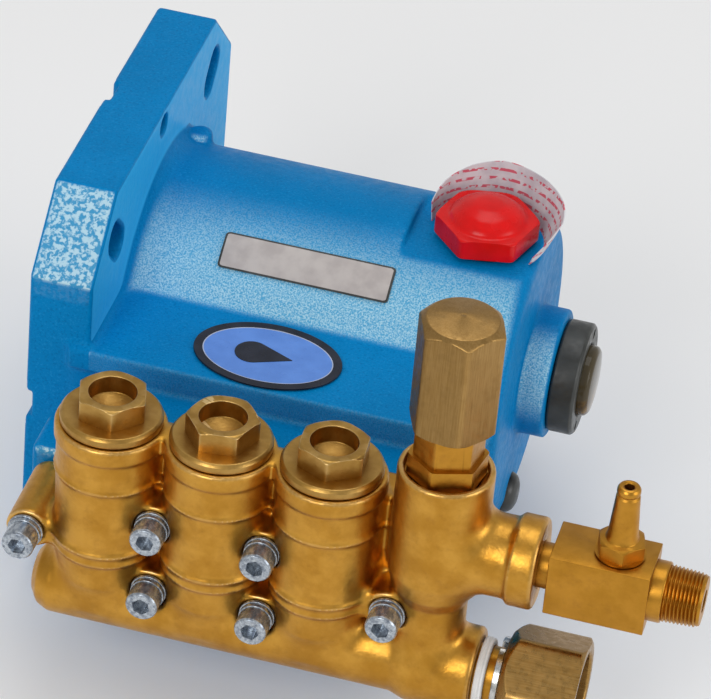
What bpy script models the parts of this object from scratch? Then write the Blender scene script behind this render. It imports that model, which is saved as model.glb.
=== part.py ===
"""Triplex plunger pump for a petrol engine's horizontal shaft.

Metres, +Z up. The origin is on the crank axis, in the face that bolts to the engine. +X runs from the engine
to the oil gauge, and the brass manifold is on the -Y side.
"""

from math import cos, pi, radians, sin, sqrt

import bmesh
import bpy
from mathutils import Euler, Vector

MM = 0.001
GAP = 0.3

# Engine flange
FLANGE_T = 20.2
FLANGE_Y = 75.5
FLANGE_TOP = 71.0
FLANGE_BOTTOM = -67.0
FLANGE_CHAMFER = 22.0
SLOT_RADIUS = 73.0
SLOT_LENGTH = 17.0
SLOT_WIDTH = 10.5

# Crankcase
CASE_R = 48.8
CASE_END = 145.0
NECK_R = 21.0
NECK_END = 154.5
CAVITY_R = 40.0
LEDGE_Z = 27.0
LEDGE_FRONT = -78.0
FRONT_Y = -106.7
BACK_Y = 52.0
FLAT_Z = 45.4
FILLER_X = 126.0
DRAIN_AT = (0, -13.0, -41.0)

# Crank train
CYLINDERS = (42.8, 76.8, 110.8)
PHASES = (90.0, 210.0, 330.0)
THROW = 4.1
ROD_LENGTH = 58.0
ECCENTRIC_R = 20.0

# Manifold
CHAMBER_Y = -126.8
MANIFOLD_BACK = -107.0
RIM_Z = 42.0
GALLERY_Z = -21.0
UNLOADER_X = 144.8
OUTLET_Z = 24.5
SCREW_SEAT = -134.8
SCREWS = ((59.8, 12.2), (93.8, 12.2), (59.8, -12.2), (93.8, -12.2), (20.3, 0.0), (133.3, 0.0))
PLUG_TURNS = (46.0, 8.0, 34.0)

# Facets round a full turn, by size
BIG = 48
MID = 24
SMALL = 16
TINY = 10

AXES = {
    "Z": (0.0, 0.0, 0.0),
    "X": (0.0, pi / 2, 0.0),
    "-X": (0.0, -pi / 2, 0.0),
    "-Y": (pi / 2, 0.0, 0.0),
    "Y": (-pi / 2, 0.0, 0.0),
}


def clear_scene():
    for obj in list(bpy.data.objects):
        bpy.data.objects.remove(obj, do_unlink=True)


def new_collection(name):
    collection = bpy.data.collections.new(name)
    bpy.context.scene.collection.children.link(collection)
    return collection


def material(name, colour, roughness, metallic=0.0):
    made = bpy.data.materials.new(name)
    made.use_nodes = True
    shader = made.node_tree.nodes["Principled BSDF"]
    shader.inputs["Base Color"].default_value = (*colour, 1.0)
    shader.inputs["Roughness"].default_value = roughness
    shader.inputs["Metallic"].default_value = metallic
    return made


clear_scene()
PARTS = new_collection("pressure_washer_pump")
CUTTERS = new_collection("cutters")

PAINT = material("case_paint", (0.012, 0.212, 0.52), 0.38)
BRASS = material("forged_brass", (0.58, 0.28, 0.05), 0.34, 1.0)
BRIGHT_BRASS = material("machined_brass", (0.66, 0.36, 0.08), 0.22, 1.0)
STEEL = material("machined_steel", (0.56, 0.57, 0.58), 0.28, 1.0)
ZINC = material("zinc_plate", (0.42, 0.45, 0.48), 0.3, 1.0)
STAINLESS = material("stainless", (0.62, 0.62, 0.6), 0.22, 1.0)
ALLOY = material("rod_alloy", (0.62, 0.63, 0.64), 0.4, 1.0)
CERAMIC = material("plunger_ceramic", (0.86, 0.85, 0.8), 0.12)
RUBBER = material("seal_rubber", (0.02, 0.02, 0.022), 0.6)
RED = material("red_plastic", (0.69, 0.005, 0.005), 0.2)
BLACK = material("bezel_black", (0.028, 0.03, 0.028), 0.42)
GLASS = material("gauge_glass", (0.42, 0.3, 0.08), 0.06)
PAPER = material("tag_paper", (0.78, 0.75, 0.76), 0.7)
PLATE = material("plate_foil", (0.52, 0.48, 0.46), 0.35, 0.6)
BADGE = material("badge_blue", (0.15, 0.28, 0.73), 0.3)
TAPE = material("thread_tape", (0.8, 0.8, 0.79), 0.55)


def shape(name, mesh, at=(0, 0, 0), axis="Z", turn=0.0, mat=None):
    """An object at a point in mm, with its own Z along the named axis. One without a material is a cutter."""
    obj = bpy.data.objects.new(name, mesh)
    obj.location = Vector(at) * MM
    turned_about = Euler((0.0, 0.0, radians(turn))).to_matrix()
    obj.rotation_euler = (Euler(AXES[axis]).to_matrix() @ turned_about).to_euler()
    if mat is None:
        CUTTERS.objects.link(obj)
        obj.hide_render = True
        obj.display_type = "WIRE"
    else:
        PARTS.objects.link(obj)
        obj.data.materials.append(mat)
    return obj


def turned(name, profile, steps, ring=False, **where):
    """A turned solid. The profile is (radius, height) in mm and runs down its outer side."""
    mesh = bpy.data.meshes.new(name)
    points = [(r * MM, 0.0, z * MM) for r, z in profile]
    edges = [(i, i + 1) for i in range(len(points) - 1)]
    if ring:
        edges.append((len(points) - 1, 0))
    mesh.from_pydata(points, edges, [])
    obj = shape(name, mesh, **where)
    screw = obj.modifiers.new("Turn", "SCREW")
    screw.axis = "Z"
    screw.angle = 2 * pi
    screw.steps = steps
    screw.render_steps = steps
    screw.use_merge_vertices = True
    screw.merge_threshold = 1e-5
    screw.use_smooth_shade = False
    return obj


def rod(name, radius, low, high, steps, **where):
    return turned(name, [(0, high), (radius, high), (radius, low), (0, low)], steps, **where)


def tube(name, outer, inner, low, high, steps, **where):
    profile = [(outer, high), (outer, low), (inner, low), (inner, high)]
    return turned(name, profile, steps, ring=True, **where)


def prism(name, outline, low, high, **where):
    """A flat outline in mm, filled and drawn out along the object's own Z."""
    curve = bpy.data.curves.new(name, "CURVE")
    curve.dimensions = "2D"
    curve.fill_mode = "BOTH"
    curve.extrude = (high - low) / 2 * MM
    spline = curve.splines.new("POLY")
    spline.points.add(len(outline) - 1)
    for point, (x, y) in zip(spline.points, outline):
        point.co = (x * MM, y * MM, 0.0, 1.0)
    spline.use_cyclic_u = True
    holder = bpy.data.objects.new(name + "_outline", curve)
    CUTTERS.objects.link(holder)
    bpy.context.view_layer.update()
    graph = bpy.context.evaluated_depsgraph_get()
    mesh = bpy.data.meshes.new_from_object(holder.evaluated_get(graph))
    bpy.data.objects.remove(holder, do_unlink=True)
    made = bmesh.new()
    made.from_mesh(mesh)
    bmesh.ops.remove_doubles(made, verts=made.verts, dist=1e-6)
    bmesh.ops.translate(made, verts=made.verts, vec=(0.0, 0.0, (low + high) / 2 * MM))
    bmesh.ops.recalc_face_normals(made, faces=made.faces)
    made.to_mesh(mesh)
    made.free()
    mesh.name = name
    return shape(name, mesh, **where)


def hex_outline(across_flats):
    corner = across_flats / sqrt(3)
    return [(corner * cos(radians(60 * i)), corner * sin(radians(60 * i))) for i in range(6)]


def block(name, low, high, **where):
    """A box between two corners in mm."""
    made = bmesh.new()
    bmesh.ops.create_cube(made, size=1.0)
    size = [(b - a) * MM for a, b in zip(low, high)]
    middle = [(a + b) / 2 * MM for a, b in zip(low, high)]
    bmesh.ops.scale(made, verts=made.verts, vec=size)
    bmesh.ops.translate(made, verts=made.verts, vec=middle)
    mesh = bpy.data.meshes.new(name)
    made.to_mesh(mesh)
    made.free()
    return shape(name, mesh, **where)


# The castings' many shared planes leave the exact solver with open edges.
CASTINGS = ("crankcase", "manifold")


def combine(target, other, operation):
    boolean = target.modifiers.new(operation.title(), "BOOLEAN")
    boolean.operation = operation
    boolean.object = other
    boolean.solver = "MANIFOLD" if target.name in CASTINGS else "EXACT"


def join(target, *others):
    for other in others:
        combine(target, other, "UNION")


def cut(target, *others):
    for other in others:
        combine(target, other, "DIFFERENCE")


def keep(target, *others):
    for other in others:
        combine(target, other, "INTERSECT")


def across(points):
    """(y, z) points as an outline for a prism drawn out along X."""
    return [(-z, y) for y, z in points]


def stadium(centre, length, width, angle, facets=6):
    """A slot outline with round ends, as (y, z) points."""
    half = (length - width) / 2
    points = []
    for end, start in ((half, -90.0), (-half, 90.0)):
        for i in range(facets + 1):
            a = radians(start + 180.0 * i / facets)
            points.append((end + width / 2 * cos(a), width / 2 * sin(a)))
    c, s = cos(radians(angle)), sin(radians(angle))
    return [(centre[0] + u * c - v * s, centre[1] + u * s + v * c) for u, v in points]


def ellipse(half_x, half_y, facets):
    steps = [2 * pi * i / facets for i in range(facets)]
    return [(half_x * cos(a), half_y * sin(a)) for a in steps]


# ---------------------------------------------------------------- crankcase
flange_outline = [
    (-FLANGE_Y, FLANGE_BOTTOM + FLANGE_CHAMFER),
    (-FLANGE_Y + FLANGE_CHAMFER, FLANGE_BOTTOM),
    (FLANGE_Y - FLANGE_CHAMFER, FLANGE_BOTTOM),
    (FLANGE_Y, FLANGE_BOTTOM + FLANGE_CHAMFER),
    (FLANGE_Y, FLANGE_TOP - FLANGE_CHAMFER),
    (FLANGE_Y - FLANGE_CHAMFER, FLANGE_TOP),
    (-FLANGE_Y + FLANGE_CHAMFER, FLANGE_TOP),
    (-FLANGE_Y, FLANGE_TOP - FLANGE_CHAMFER),
]
crankcase = prism("crankcase", across(flange_outline), 0.0, FLANGE_T, axis="X", mat=PAINT)

barrel_profile = [
    (0, NECK_END), (NECK_R, NECK_END), (NECK_R, CASE_END), (30, CASE_END - 0.3), (40, CASE_END - 1.9),
    (46, CASE_END - 4.9), (48.2, CASE_END - 7.5), (CASE_R, CASE_END - 11),
    (CASE_R, 27), (50.3, 23.6), (53.6, 21.1), (57.7, 19), (0, 19),
]
barrel = turned("case_barrel", barrel_profile, BIG, axis="X")
ledge_outline = [(-20, 19.4), (-20, LEDGE_Z), (LEDGE_FRONT, LEDGE_Z), (LEDGE_FRONT, 19.4)]
ledge = prism("case_ledge", across(ledge_outline), 13.8, 136.0, axis="X")
root_outline = [(-19, -35.5), (-19, 22), (-75, 22), (-75, -20.5), (-38, -35.5)]
root = prism("case_root", across(root_outline), 14.5, 134.0, axis="X")
guides = block("case_guides", (25.0, FRONT_Y, -17.5), (128.6, -50.0, 17.5))
ears = block("case_ears", (12.0, FRONT_Y + 0.6, -9.0), (141.0, -88.0, 9.0))
rear_outline = [
    (8, -44), (BACK_Y - 6, -44), (BACK_Y, -38), (BACK_Y, 4), (BACK_Y - 6, 12), (36, 18), (8, 30),
]
rear = prism("case_rear", across(rear_outline), 15.2, 133.0, axis="X")
drain_boss = rod("case_drain_boss", 9.0, 125.0, CASE_END - 1.5, SMALL, at=DRAIN_AT, axis="X")
join(crankcase, barrel, ledge, root, guides, ears, rear, drain_boss)

cut(crankcase, rod("cut_cavity", CAVITY_R, 24.5, 119.0, BIG, axis="X", turn=3.1))
cut(crankcase, rod("cut_engine_bore", 31.3, -2.0, 26.0, MID, axis="X", turn=5.3))
cut(crankcase, rod("cut_far_bore", 26.3, 110.0, 133.7, MID, axis="X", turn=5.3))
cut(crankcase, rod("cut_gauge_bore", 12.6, 130.0, NECK_END + 3.0, SMALL, axis="X", turn=4.7))
cut(crankcase, block("cut_rear_opening", (34, 15, -34), (118, 60, -2)))
for number, x in enumerate(CYLINDERS, 1):
    cut(crankcase, rod(f"cut_guide_{number}", 14.4, 25.0, 85.0, MID, at=(x, 0, 0), axis="-Y", turn=4.1))
    cut(crankcase, rod(f"cut_rod_{number}", 6.8, 80.0, 112.0, SMALL, at=(x, 0, 0), axis="-Y"))
for number, (x, z) in enumerate(SCREWS, 1):
    cut(crankcase, rod(f"cut_tapped_{number}", 3.3, 93.5, 112.0, TINY, at=(x, 0, z), axis="-Y"))
cut(crankcase, block("cut_filler_flat", (102.6, -30, FLAT_Z), (152, 30, 62)))
cut(crankcase, rod("cut_filler", 10.7, 34.0, 60.0, SMALL, at=(FILLER_X, 0, 0), turn=6.2))
cut(crankcase, rod("cut_drain", 5.3, 121.0, 150.0, TINY, at=DRAIN_AT, axis="X"))
for number, angle in enumerate((45, 135, 225, 315), 1):
    centre = (SLOT_RADIUS * cos(radians(angle)), SLOT_RADIUS * sin(radians(angle)))
    outline = across(stadium(centre, SLOT_LENGTH, SLOT_WIDTH, angle))
    cut(crankcase, prism(f"cut_slot_{number}", outline, -2.0, 30.0, axis="X"))
cut(crankcase, block("cut_groove_across", (-2, -90, -4.8), (2.0, 90, 4.8)))
cut(crankcase, block("cut_groove_up", (-2, -4.8, -90), (2.0, 4.8, 90)))
cut(crankcase, rod("cut_flange_hole", 3.4, 10.0, 30.0, TINY, at=(0, -4.0, 65.0), axis="X"))

rear_holes = [(x, z) for x in (31.0, 121.0) for z in (-36.0, 0.0)]
for number, (x, z) in enumerate(rear_holes, 1):
    cut(crankcase, rod(f"cut_rear_tapped_{number}", 2.3, 42.5, 55.0, TINY, at=(x, 0, z), axis="Y"))

# ------------------------------------------------------------- rear cover
cover_outline = [
    (26, 36), (29, 40), (123, 40), (125.5, 36), (125.5, -1), (123, -3.5), (29, -3.5), (26, -1),
]
rear_cover = prism("rear_cover", cover_outline, BACK_Y + GAP, BACK_Y + 5.3, axis="Y", mat=PAINT)
cover_rib = block("cover_rib", (44, BACK_Y + 3, -28), (108, BACK_Y + 8.5, -10))
join(rear_cover, cover_rib)
for number, (x, z) in enumerate(rear_holes, 1):
    cut(rear_cover, rod(f"cut_cover_{number}", 2.5, 40.0, 65.0, TINY, at=(x, 0, z), axis="Y"))
    head_base = BACK_Y + 5.6
    profile = [
        (0, head_base + 3), (3.6, head_base + 3), (4.3, head_base + 2), (4.3, head_base),
        (2.0, head_base), (2.0, head_base - 14), (0, head_base - 14),
    ]
    turned(f"rear_screw_{number}", profile, TINY, at=(x, 0, z), axis="Y", mat=ZINC)

DRAIN_SEAT = CASE_END - 1.2
drain_profile = [
    (0, DRAIN_SEAT + 4.4), (4.6, DRAIN_SEAT + 4.0), (6.4, DRAIN_SEAT + 2.6), (6.9, DRAIN_SEAT),
    (5.0, DRAIN_SEAT), (5.0, DRAIN_SEAT - 11.0), (0, DRAIN_SEAT - 11.0),
]
turned("drain_plug", drain_profile, SMALL, at=DRAIN_AT, axis="X", mat=BLACK)

# ------------------------------------------------------- bearings and seal
bearing_profile = [
    (31.0, 24.0), (31.0, 8.3), (21.4, 8.3), (21.4, 9.4), (25.4, 9.4), (25.4, 22.9), (21.4, 22.9), (21.4, 24.0),
]
turned("bearing_engine", bearing_profile, MID, ring=True, axis="X", mat=STEEL)
far_profile = [
    (26.0, 133.3), (26.0, 118.4), (17.6, 118.4), (17.6, 119.4), (21.6, 119.4), (21.6, 132.3),
    (17.6, 132.3), (17.6, 133.3),
]
turned("bearing_far", far_profile, MID, ring=True, axis="X", mat=STEEL)
seal_profile = [(31.0, 7.9), (31.0, 1.0), (18.0, 1.0), (15.4, 3.2), (15.4, 4.6), (18.0, 5.6), (18.0, 7.9)]
turned("shaft_seal", seal_profile, MID, ring=True, axis="X", mat=RUBBER)

# -------------------------------------------------------------- crank train
shaft_profile = [
    (0, 132.8), (11.6, 132.8), (12.3, 132.0), (17.2, 132.0), (17.2, 118.6), (15.0, 118.6), (15.0, 24.2),
    (21.0, 24.2), (21.0, 8.2), (15.0, 8.2), (15.0, 4.0), (0, 4.0),
]
crankshaft = turned("crankshaft", shaft_profile, MID, axis="X", mat=STEEL)


def throw_of(phase):
    """Where an eccentric's centre stands from the crank axis at rest, as (y, z)."""
    return -THROW * cos(radians(phase)), THROW * sin(radians(phase))


for number, (x, phase) in enumerate(zip(CYLINDERS, PHASES), 1):
    y, z = throw_of(phase)
    join(crankshaft, rod(f"eccentric_{number}", ECCENTRIC_R, x - 7.4, x + 7.4, MID, at=(0, y, z), axis="X"))
cut(crankshaft, rod("cut_shaft_bore", 9.525, 2.0, 62.0, SMALL, axis="X"))
cut(crankshaft, block("cut_keyway", (2.0, -2.4, 4.0), (62.0, 2.4, 12.0)))

for number, (x, phase) in enumerate(zip(CYLINDERS, PHASES), 1):
    y, z = throw_of(phase)
    centre = (x, y, z)
    con_rod = tube(f"con_rod_{number}", 26.0, 20.4, -7.0, 7.0, MID, at=centre, axis="X", mat=ALLOY)
    shank = block(f"shank_{number}", (-4.5, -ROD_LENGTH, -4.5), (4.5, -22.0, 4.5), at=centre)
    end_at = (x, y - ROD_LENGTH, z)
    small_end = rod(f"small_end_{number}", 6.3, -4.5, 4.5, SMALL, at=end_at, axis="X")
    join(con_rod, shank, small_end)
    cut(con_rod, rod(f"cut_pin_{number}", 3.2, -8.0, 8.0, TINY, at=end_at, axis="X"))
    rod(f"wrist_pin_{number}", 2.9, -7.0, 7.0, TINY, at=end_at, axis="X", mat=STEEL)

    head_y = -y
    crosshead_profile = [
        (14.0, head_y + 80.0), (14.0, head_y + 48.0), (12.2, head_y + 48.0), (12.2, head_y + 73.0),
        (0.0, head_y + 73.0),
    ]
    crosshead_profile = [(0.0, head_y + 80.0)] + crosshead_profile
    turned(f"crosshead_{number}", crosshead_profile, MID, at=(x, 0, 0), axis="-Y", mat=STEEL)
    plunger_profile = [
        (0, head_y + 117.0), (5.2, head_y + 117.0), (6.0, head_y + 116.2), (6.0, head_y + 80.3),
        (0, head_y + 80.3),
    ]
    turned(f"plunger_{number}", plunger_profile, SMALL, at=(x, 0, 0), axis="-Y", mat=CERAMIC)
    tube(f"seal_pack_{number}", 10.0, 6.3, 107.3, 114.6, SMALL, at=(x, 0, 0), axis="-Y", mat=RUBBER)

# ----------------------------------------------------------------- manifold
chamber_profile = [
    (0, RIM_Z), (16.3, RIM_Z), (16.9, RIM_Z - 0.7), (16.9, 36.8), (16.1, 35.4), (16.1, 26.8), (16.8, 25.6),
    (15.9, 24.2), (15.6, 3.0), (16.4, 1.2), (15.0, -0.6), (14.4, -12.0), (11.0, -22.0), (0, -22.0),
]
manifold = block("manifold", (27.0, -116.0, -24.0), (128.0, MANIFOLD_BACK, 30.0), mat=BRASS)
for number, x in enumerate(CYLINDERS, 1):
    join(manifold, turned(f"chamber_{number}", chamber_profile, MID, at=(x, CHAMBER_Y, 0)))
join(manifold, block("chamber_web", (42.8, -124.0, -20.0), (144.8, -110.0, 33.0)))
gallery_profile = [
    (0, 161.0), (12.6, 161.0), (13.5, 160.0), (13.5, 141.0), (11.8, 136.0), (11.8, 28.0), (10.2, 24.4),
    (6.5, 22.0), (0, 22.0),
]
join(manifold, turned("gallery", gallery_profile, SMALL, at=(0, CHAMBER_Y, GALLERY_Z), axis="X"))
column_profile = [
    (0, 52.5), (13.8, 52.5), (14.5, 51.8), (14.5, 16.0), (13.2, 10.0), (10.6, 5.0), (10.6, -21.0), (0, -21.0),
]
join(manifold, turned("column", column_profile, MID, at=(UNLOADER_X, CHAMBER_Y, 0)))
neck_profile = [
    (0, 176.0), (13.2, 176.0), (14.0, 175.2), (14.0, 168.4), (12.5, 167.0), (12.5, 144.8), (0, 144.8),
]
join(manifold, turned("outlet_neck", neck_profile, MID, at=(0, CHAMBER_Y, OUTLET_Z), axis="X"))
for number, (x, z) in enumerate(SCREWS, 1):
    join(manifold, rod(f"screw_boss_{number}", 6.6, 108.0, -SCREW_SEAT, SMALL, at=(x, 0, z), axis="-Y"))
join(manifold, block("left_arm", (20.3, -134.0, -4.6), (42.8, -109.0, 4.6)))
join(manifold, block("right_arm", (110.8, -134.0, -5.0), (144.0, -109.0, 5.0)))

for number, x in enumerate(CYLINDERS, 1):
    column = (x, CHAMBER_Y, 0)
    bore = [(0, 46), (12.4, 46), (12.4, 14), (9, 14), (9, -12), (4.5, -12), (4.5, -22), (0, -22)]
    cut(manifold, turned(f"cut_chamber_{number}", bore, SMALL, at=column))
    packing = [(0, 126.8), (6.5, 126.8), (6.5, 115), (10.3, 115), (10.3, 104), (0, 104)]
    cut(manifold, turned(f"cut_packing_{number}", packing, SMALL, at=(x, 0, 0), axis="-Y"))
for number, (x, z) in enumerate(SCREWS, 1):
    screw_hole = [(0, 150.0), (6.0, 150.0), (6.0, -SCREW_SEAT), (3.3, -SCREW_SEAT), (3.3, 100.0), (0, 100.0)]
    cut(manifold, turned(f"cut_screw_{number}", screw_hole, TINY, at=(x, 0, z), axis="-Y"))
inlet_bore = [(0, 164), (9.5, 164), (9.5, 149), (4.8, 149), (4.8, 36), (0, 36)]
cut(manifold, turned("cut_inlet", inlet_bore, SMALL, at=(0, CHAMBER_Y, -21.5), axis="X"))
cut(manifold, rod("cut_discharge", 3.6, 42.8, 140.0, TINY, at=(0, -120.5, 27.0), axis="X"))
unloader_bore = [(0, 56), (12.6, 56), (12.6, 50), (10.6, 50), (10.6, 8), (4.6, 8), (4.6, -21), (0, -21)]
cut(manifold, turned("cut_unloader", unloader_bore, SMALL, at=(UNLOADER_X, CHAMBER_Y, 0)))
cut(manifold, rod("cut_outlet", 7.2, 150.0, 180.0, SMALL, at=(0, CHAMBER_Y, OUTLET_Z), axis="X"))

# ------------------------------------------------ plugs, valves and screws
for number, (x, turn) in enumerate(zip(CYLINDERS, PLUG_TURNS), 1):
    column = (x, CHAMBER_Y, 0)
    plug_profile = [(0, 45.4), (14.6, 45.4), (15.5, 44.4), (15.5, 42.3), (12.1, 42.3), (12.1, 31.0), (0, 31.0)]
    plug = turned(f"valve_plug_{number}", plug_profile, MID, at=column, mat=BRASS)
    head = prism(f"plug_head_{number}", hex_outline(19.6), 40.0, 56.0, at=column, turn=turn)
    trim = turned(
        f"plug_trim_{number}",
        [(0, 52.3), (10.0, 52.3), (12.4, 51.0), (12.4, 43.8), (0, 43.8)], MID, at=column,
    )
    keep(head, trim)
    join(plug, head)
    recess = [(0, 56.0), (7.25, 56.0), (7.25, 46.5), (0, 44.0)]
    cut(plug, turned(f"cut_plug_{number}", recess, SMALL, at=column))
    outlet_valve = [(0, 24.5), (3.0, 24.5), (3.0, 17.6), (11.2, 17.2), (11.2, 14.9), (10.2, 14.3), (0, 14.3)]
    turned(f"discharge_valve_{number}", outlet_valve, SMALL, at=column, mat=STAINLESS)
    inlet_valve = [(0, -7.0), (2.0, -7.0), (2.0, -9.4), (7.6, -9.8), (7.6, -11.2), (6.8, -11.7), (0, -11.7)]
    turned(f"inlet_valve_{number}", inlet_valve, SMALL, at=column, mat=STAINLESS)

for number, (x, z) in enumerate(SCREWS, 1):
    seat = -SCREW_SEAT + GAP
    screw_profile = [
        (0, seat + 8.8), (4.5, seat + 8.8), (5.0, seat + 8.2), (5.0, seat + 2.8), (5.5, seat + 2.6),
        (5.5, seat), (2.95, seat), (2.95, 95.0), (0, 95.0),
    ]
    screw = turned(f"manifold_screw_{number}", screw_profile, TINY, at=(x, 0, z), axis="-Y", mat=ZINC)
    key = prism(f"cut_key_{number}", hex_outline(5.0), seat + 5.0, seat + 10.8, at=(x, 0, z), axis="-Y")
    cut(screw, key)

# ----------------------------------------------------------------- unloader
column = (UNLOADER_X, CHAMBER_Y, 0)
retainer_profile = [(0, 76.0), (8.0, 76.0), (8.6, 75.4), (8.6, 66.0), (0, 66.0)]
retainer = turned("unloader_retainer", retainer_profile, SMALL, at=column, mat=BRIGHT_BRASS)
join(retainer, prism("retainer_upper", hex_outline(18.5), 56.0, 68.0, at=column, turn=20))
join(retainer, prism("retainer_lower", hex_outline(21.0), 50.3, 57.6, at=column, turn=20))
join(retainer, rod("retainer_thread", 10.2, 42.0, 51.0, SMALL, at=column))
cut(retainer, rod("cut_retainer", 4.4, 40.0, 78.0, TINY, at=column))

stem_profile = [
    (0, 79.0), (6.8, 79.0), (7.4, 78.5), (7.4, 77.2), (4.0, 76.4), (4.0, 24.0), (8.2, 22.0), (8.2, 13.0),
    (5.6, 9.4), (3.6, 8.4), (0, 8.4),
]
turned("unloader_stem", stem_profile, SMALL, at=column, mat=STAINLESS)

seat_profile = [(0, 97.0), (8.3, 97.0), (8.3, 93.6), (4.4, 93.6), (4.0, 90.5), (0, 90.5)]
turned("spring_seat", seat_profile, SMALL, at=column, mat=STEEL)

SPRING_R = 6.1
SPRING_WIRE = 1.05
SPRING_LOW = 79.4 + SPRING_WIRE
SPRING_HIGH = 93.3 - SPRING_WIRE
SPRING_TURNS = 4
COIL_POINTS = 12
coil = bpy.data.curves.new("unloader_spring", "CURVE")
coil.dimensions = "3D"
coil.bevel_depth = SPRING_WIRE * MM
coil.bevel_resolution = 2
coil.use_fill_caps = True
coil_spline = coil.splines.new("POLY")
coil_count = SPRING_TURNS * COIL_POINTS + 1
coil_spline.points.add(coil_count - 1)
for i, point in enumerate(coil_spline.points):
    share = i / (coil_count - 1)
    angle = 2 * pi * SPRING_TURNS * share
    height = SPRING_LOW + (SPRING_HIGH - SPRING_LOW) * share
    point.co = (SPRING_R * cos(angle) * MM, SPRING_R * sin(angle) * MM, height * MM, 1.0)
coil_object = bpy.data.objects.new("unloader_spring", coil)
coil_object.location = Vector(column) * MM
coil.materials.append(STEEL)
PARTS.objects.link(coil_object)

CAP_TOP = 107.0
CAP_BASE = 68.4
pressure_cap = prism(
    "pressure_cap", hex_outline(24.0), CAP_BASE - 2, CAP_TOP + 2, at=column, turn=12, mat=BRIGHT_BRASS,
)
cap_trim = [
    (0, CAP_TOP), (10.6, CAP_TOP - 1.6), (14.4, CAP_TOP - 5.0), (14.4, CAP_BASE + 1.4),
    (12.2, CAP_BASE), (0, CAP_BASE),
]
keep(pressure_cap, turned("cap_trim", cap_trim, MID, at=column))
cap_bore = [(0, 97.4), (8.9, 97.4), (8.9, 60.0), (0, 60.0)]
cut(pressure_cap, turned("cut_cap", cap_bore, SMALL, at=column))

# ----------------------------------------------------------- outlet fitting
OUTLET = (0, CHAMBER_Y, OUTLET_Z)
BARB_X = 198.6
THREAD_END = 225.0
injector_low = (179.4, CHAMBER_Y - 9.4, OUTLET_Z - 10.4)
injector_high = (209.5, CHAMBER_Y + 9.4, OUTLET_Z + 10.4)
injector = block("injector_body", injector_low, injector_high, mat=BRIGHT_BRASS)
thread_profile = [
    (0, THREAD_END), (7.3, THREAD_END), (8.1, THREAD_END - 1.0), (8.6, 213.8), (9.1, 213.4),
    (9.1, 208.0), (0, 208.0),
]
join(injector, turned("outlet_thread", thread_profile, SMALL, at=OUTLET, axis="X"))
join(injector, rod("inner_thread", 6.9, 166.0, 181.4, SMALL, at=OUTLET, axis="X"))
cut(injector, rod("cut_injector", 3.6, 160.0, 230.0, TINY, at=OUTLET, axis="X"))
port = [(0, 42.0), (3.3, 42.0), (3.3, 30.0), (1.6, 30.0), (1.6, 24.5), (0, 24.5)]
cut(injector, turned("cut_barb_port", port, TINY, at=(BARB_X, CHAMBER_Y, 0)))
barb_foot = injector_high[2] + GAP
barb_profile = [
    (2.2, 60.0), (3.4, 59.2), (3.5, 57.8), (3.1, 57.0), (3.7, 56.0), (4.4, 43.0), (5.2, 41.0),
    (5.2, barb_foot), (3.0, barb_foot), (3.0, 31.0), (1.5, 31.0), (1.5, 60.0),
]
barb = turned("hose_barb", barb_profile, SMALL, ring=True, at=(BARB_X, CHAMBER_Y, 0), mat=BRIGHT_BRASS)
barb_hex = prism("barb_hex", hex_outline(13.2), barb_foot, 41.0, at=(BARB_X, CHAMBER_Y, 0), turn=45)
cut(barb_hex, rod("cut_barb_hex", 2.2, 30.0, 45.0, TINY, at=(BARB_X, CHAMBER_Y, 0)))
join(barb, barb_hex)

# ------------------------------------------------------------ inlet fitting
INLET = (0, CHAMBER_Y, GALLERY_Z - 0.5)
stem_outline = [
    (12.4, 176.0), (12.4, 173.2), (9.0, 173.0), (9.0, 161.0), (9.2, 160.6), (9.2, 150.0), (6.0, 150.0),
    (6.0, 176.0),
]
turned("inlet_stem", stem_outline, SMALL, ring=True, at=INLET, axis="X", mat=BRIGHT_BRASS)
tape_outline = [(10.9, 164.6), (11.4, 163.8), (11.4, 161.6), (9.3, 161.6), (9.3, 164.6)]
turned("thread_tape", tape_outline, SMALL, ring=True, at=INLET, axis="X", mat=TAPE)
snap_ring = tube("snap_ring", 12.6, 9.4, 167.2, 169.2, SMALL, at=INLET, axis="X", mat=STAINLESS)
cut(snap_ring, block("cut_snap", (160.0, -1.6, 4.0), (175.0, 1.6, 16.0), at=INLET))
nut = prism("swivel_nut", hex_outline(31.75), 167.0, 195.0, at=INLET, axis="X", turn=8, mat=BRASS)
nut_trim = [
    (0, 193.0), (16.4, 193.0), (18.6, 191.4), (18.6, 173.4), (14.6, 169.6), (0, 169.6),
]
keep(nut, turned("nut_trim", nut_trim, MID, at=INLET, axis="X"))
nut_bore = [(0, 196.0), (13.2, 196.0), (13.2, 172.9), (9.4, 172.9), (9.4, 165.0), (0, 165.0)]
cut(nut, turned("cut_nut", nut_bore, SMALL, at=INLET, axis="X"))

# --------------------------------------------------- filler cap, tag, gauge
FILLER = (FILLER_X, 0, 0)
CAP_SEAT = 47.2
oil_cap = prism("oil_cap", hex_outline(29.0), CAP_SEAT, 54.2, at=FILLER, turn=13, mat=RED)
dome = [(0, 59.6), (4.5, 59.2), (8.6, 57.8), (11.4, 55.6), (12.6, 53.6), (0, 53.0)]
join(oil_cap, turned("cap_dome", dome, SMALL, at=FILLER))
join(oil_cap, rod("cap_stub", 10.0, 35.0, 48.0, SMALL, at=FILLER))
tube("oil_cap_seal", 13.2, 10.4, FLAT_Z + GAP, CAP_SEAT - GAP, SMALL, at=FILLER, mat=RUBBER)

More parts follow.
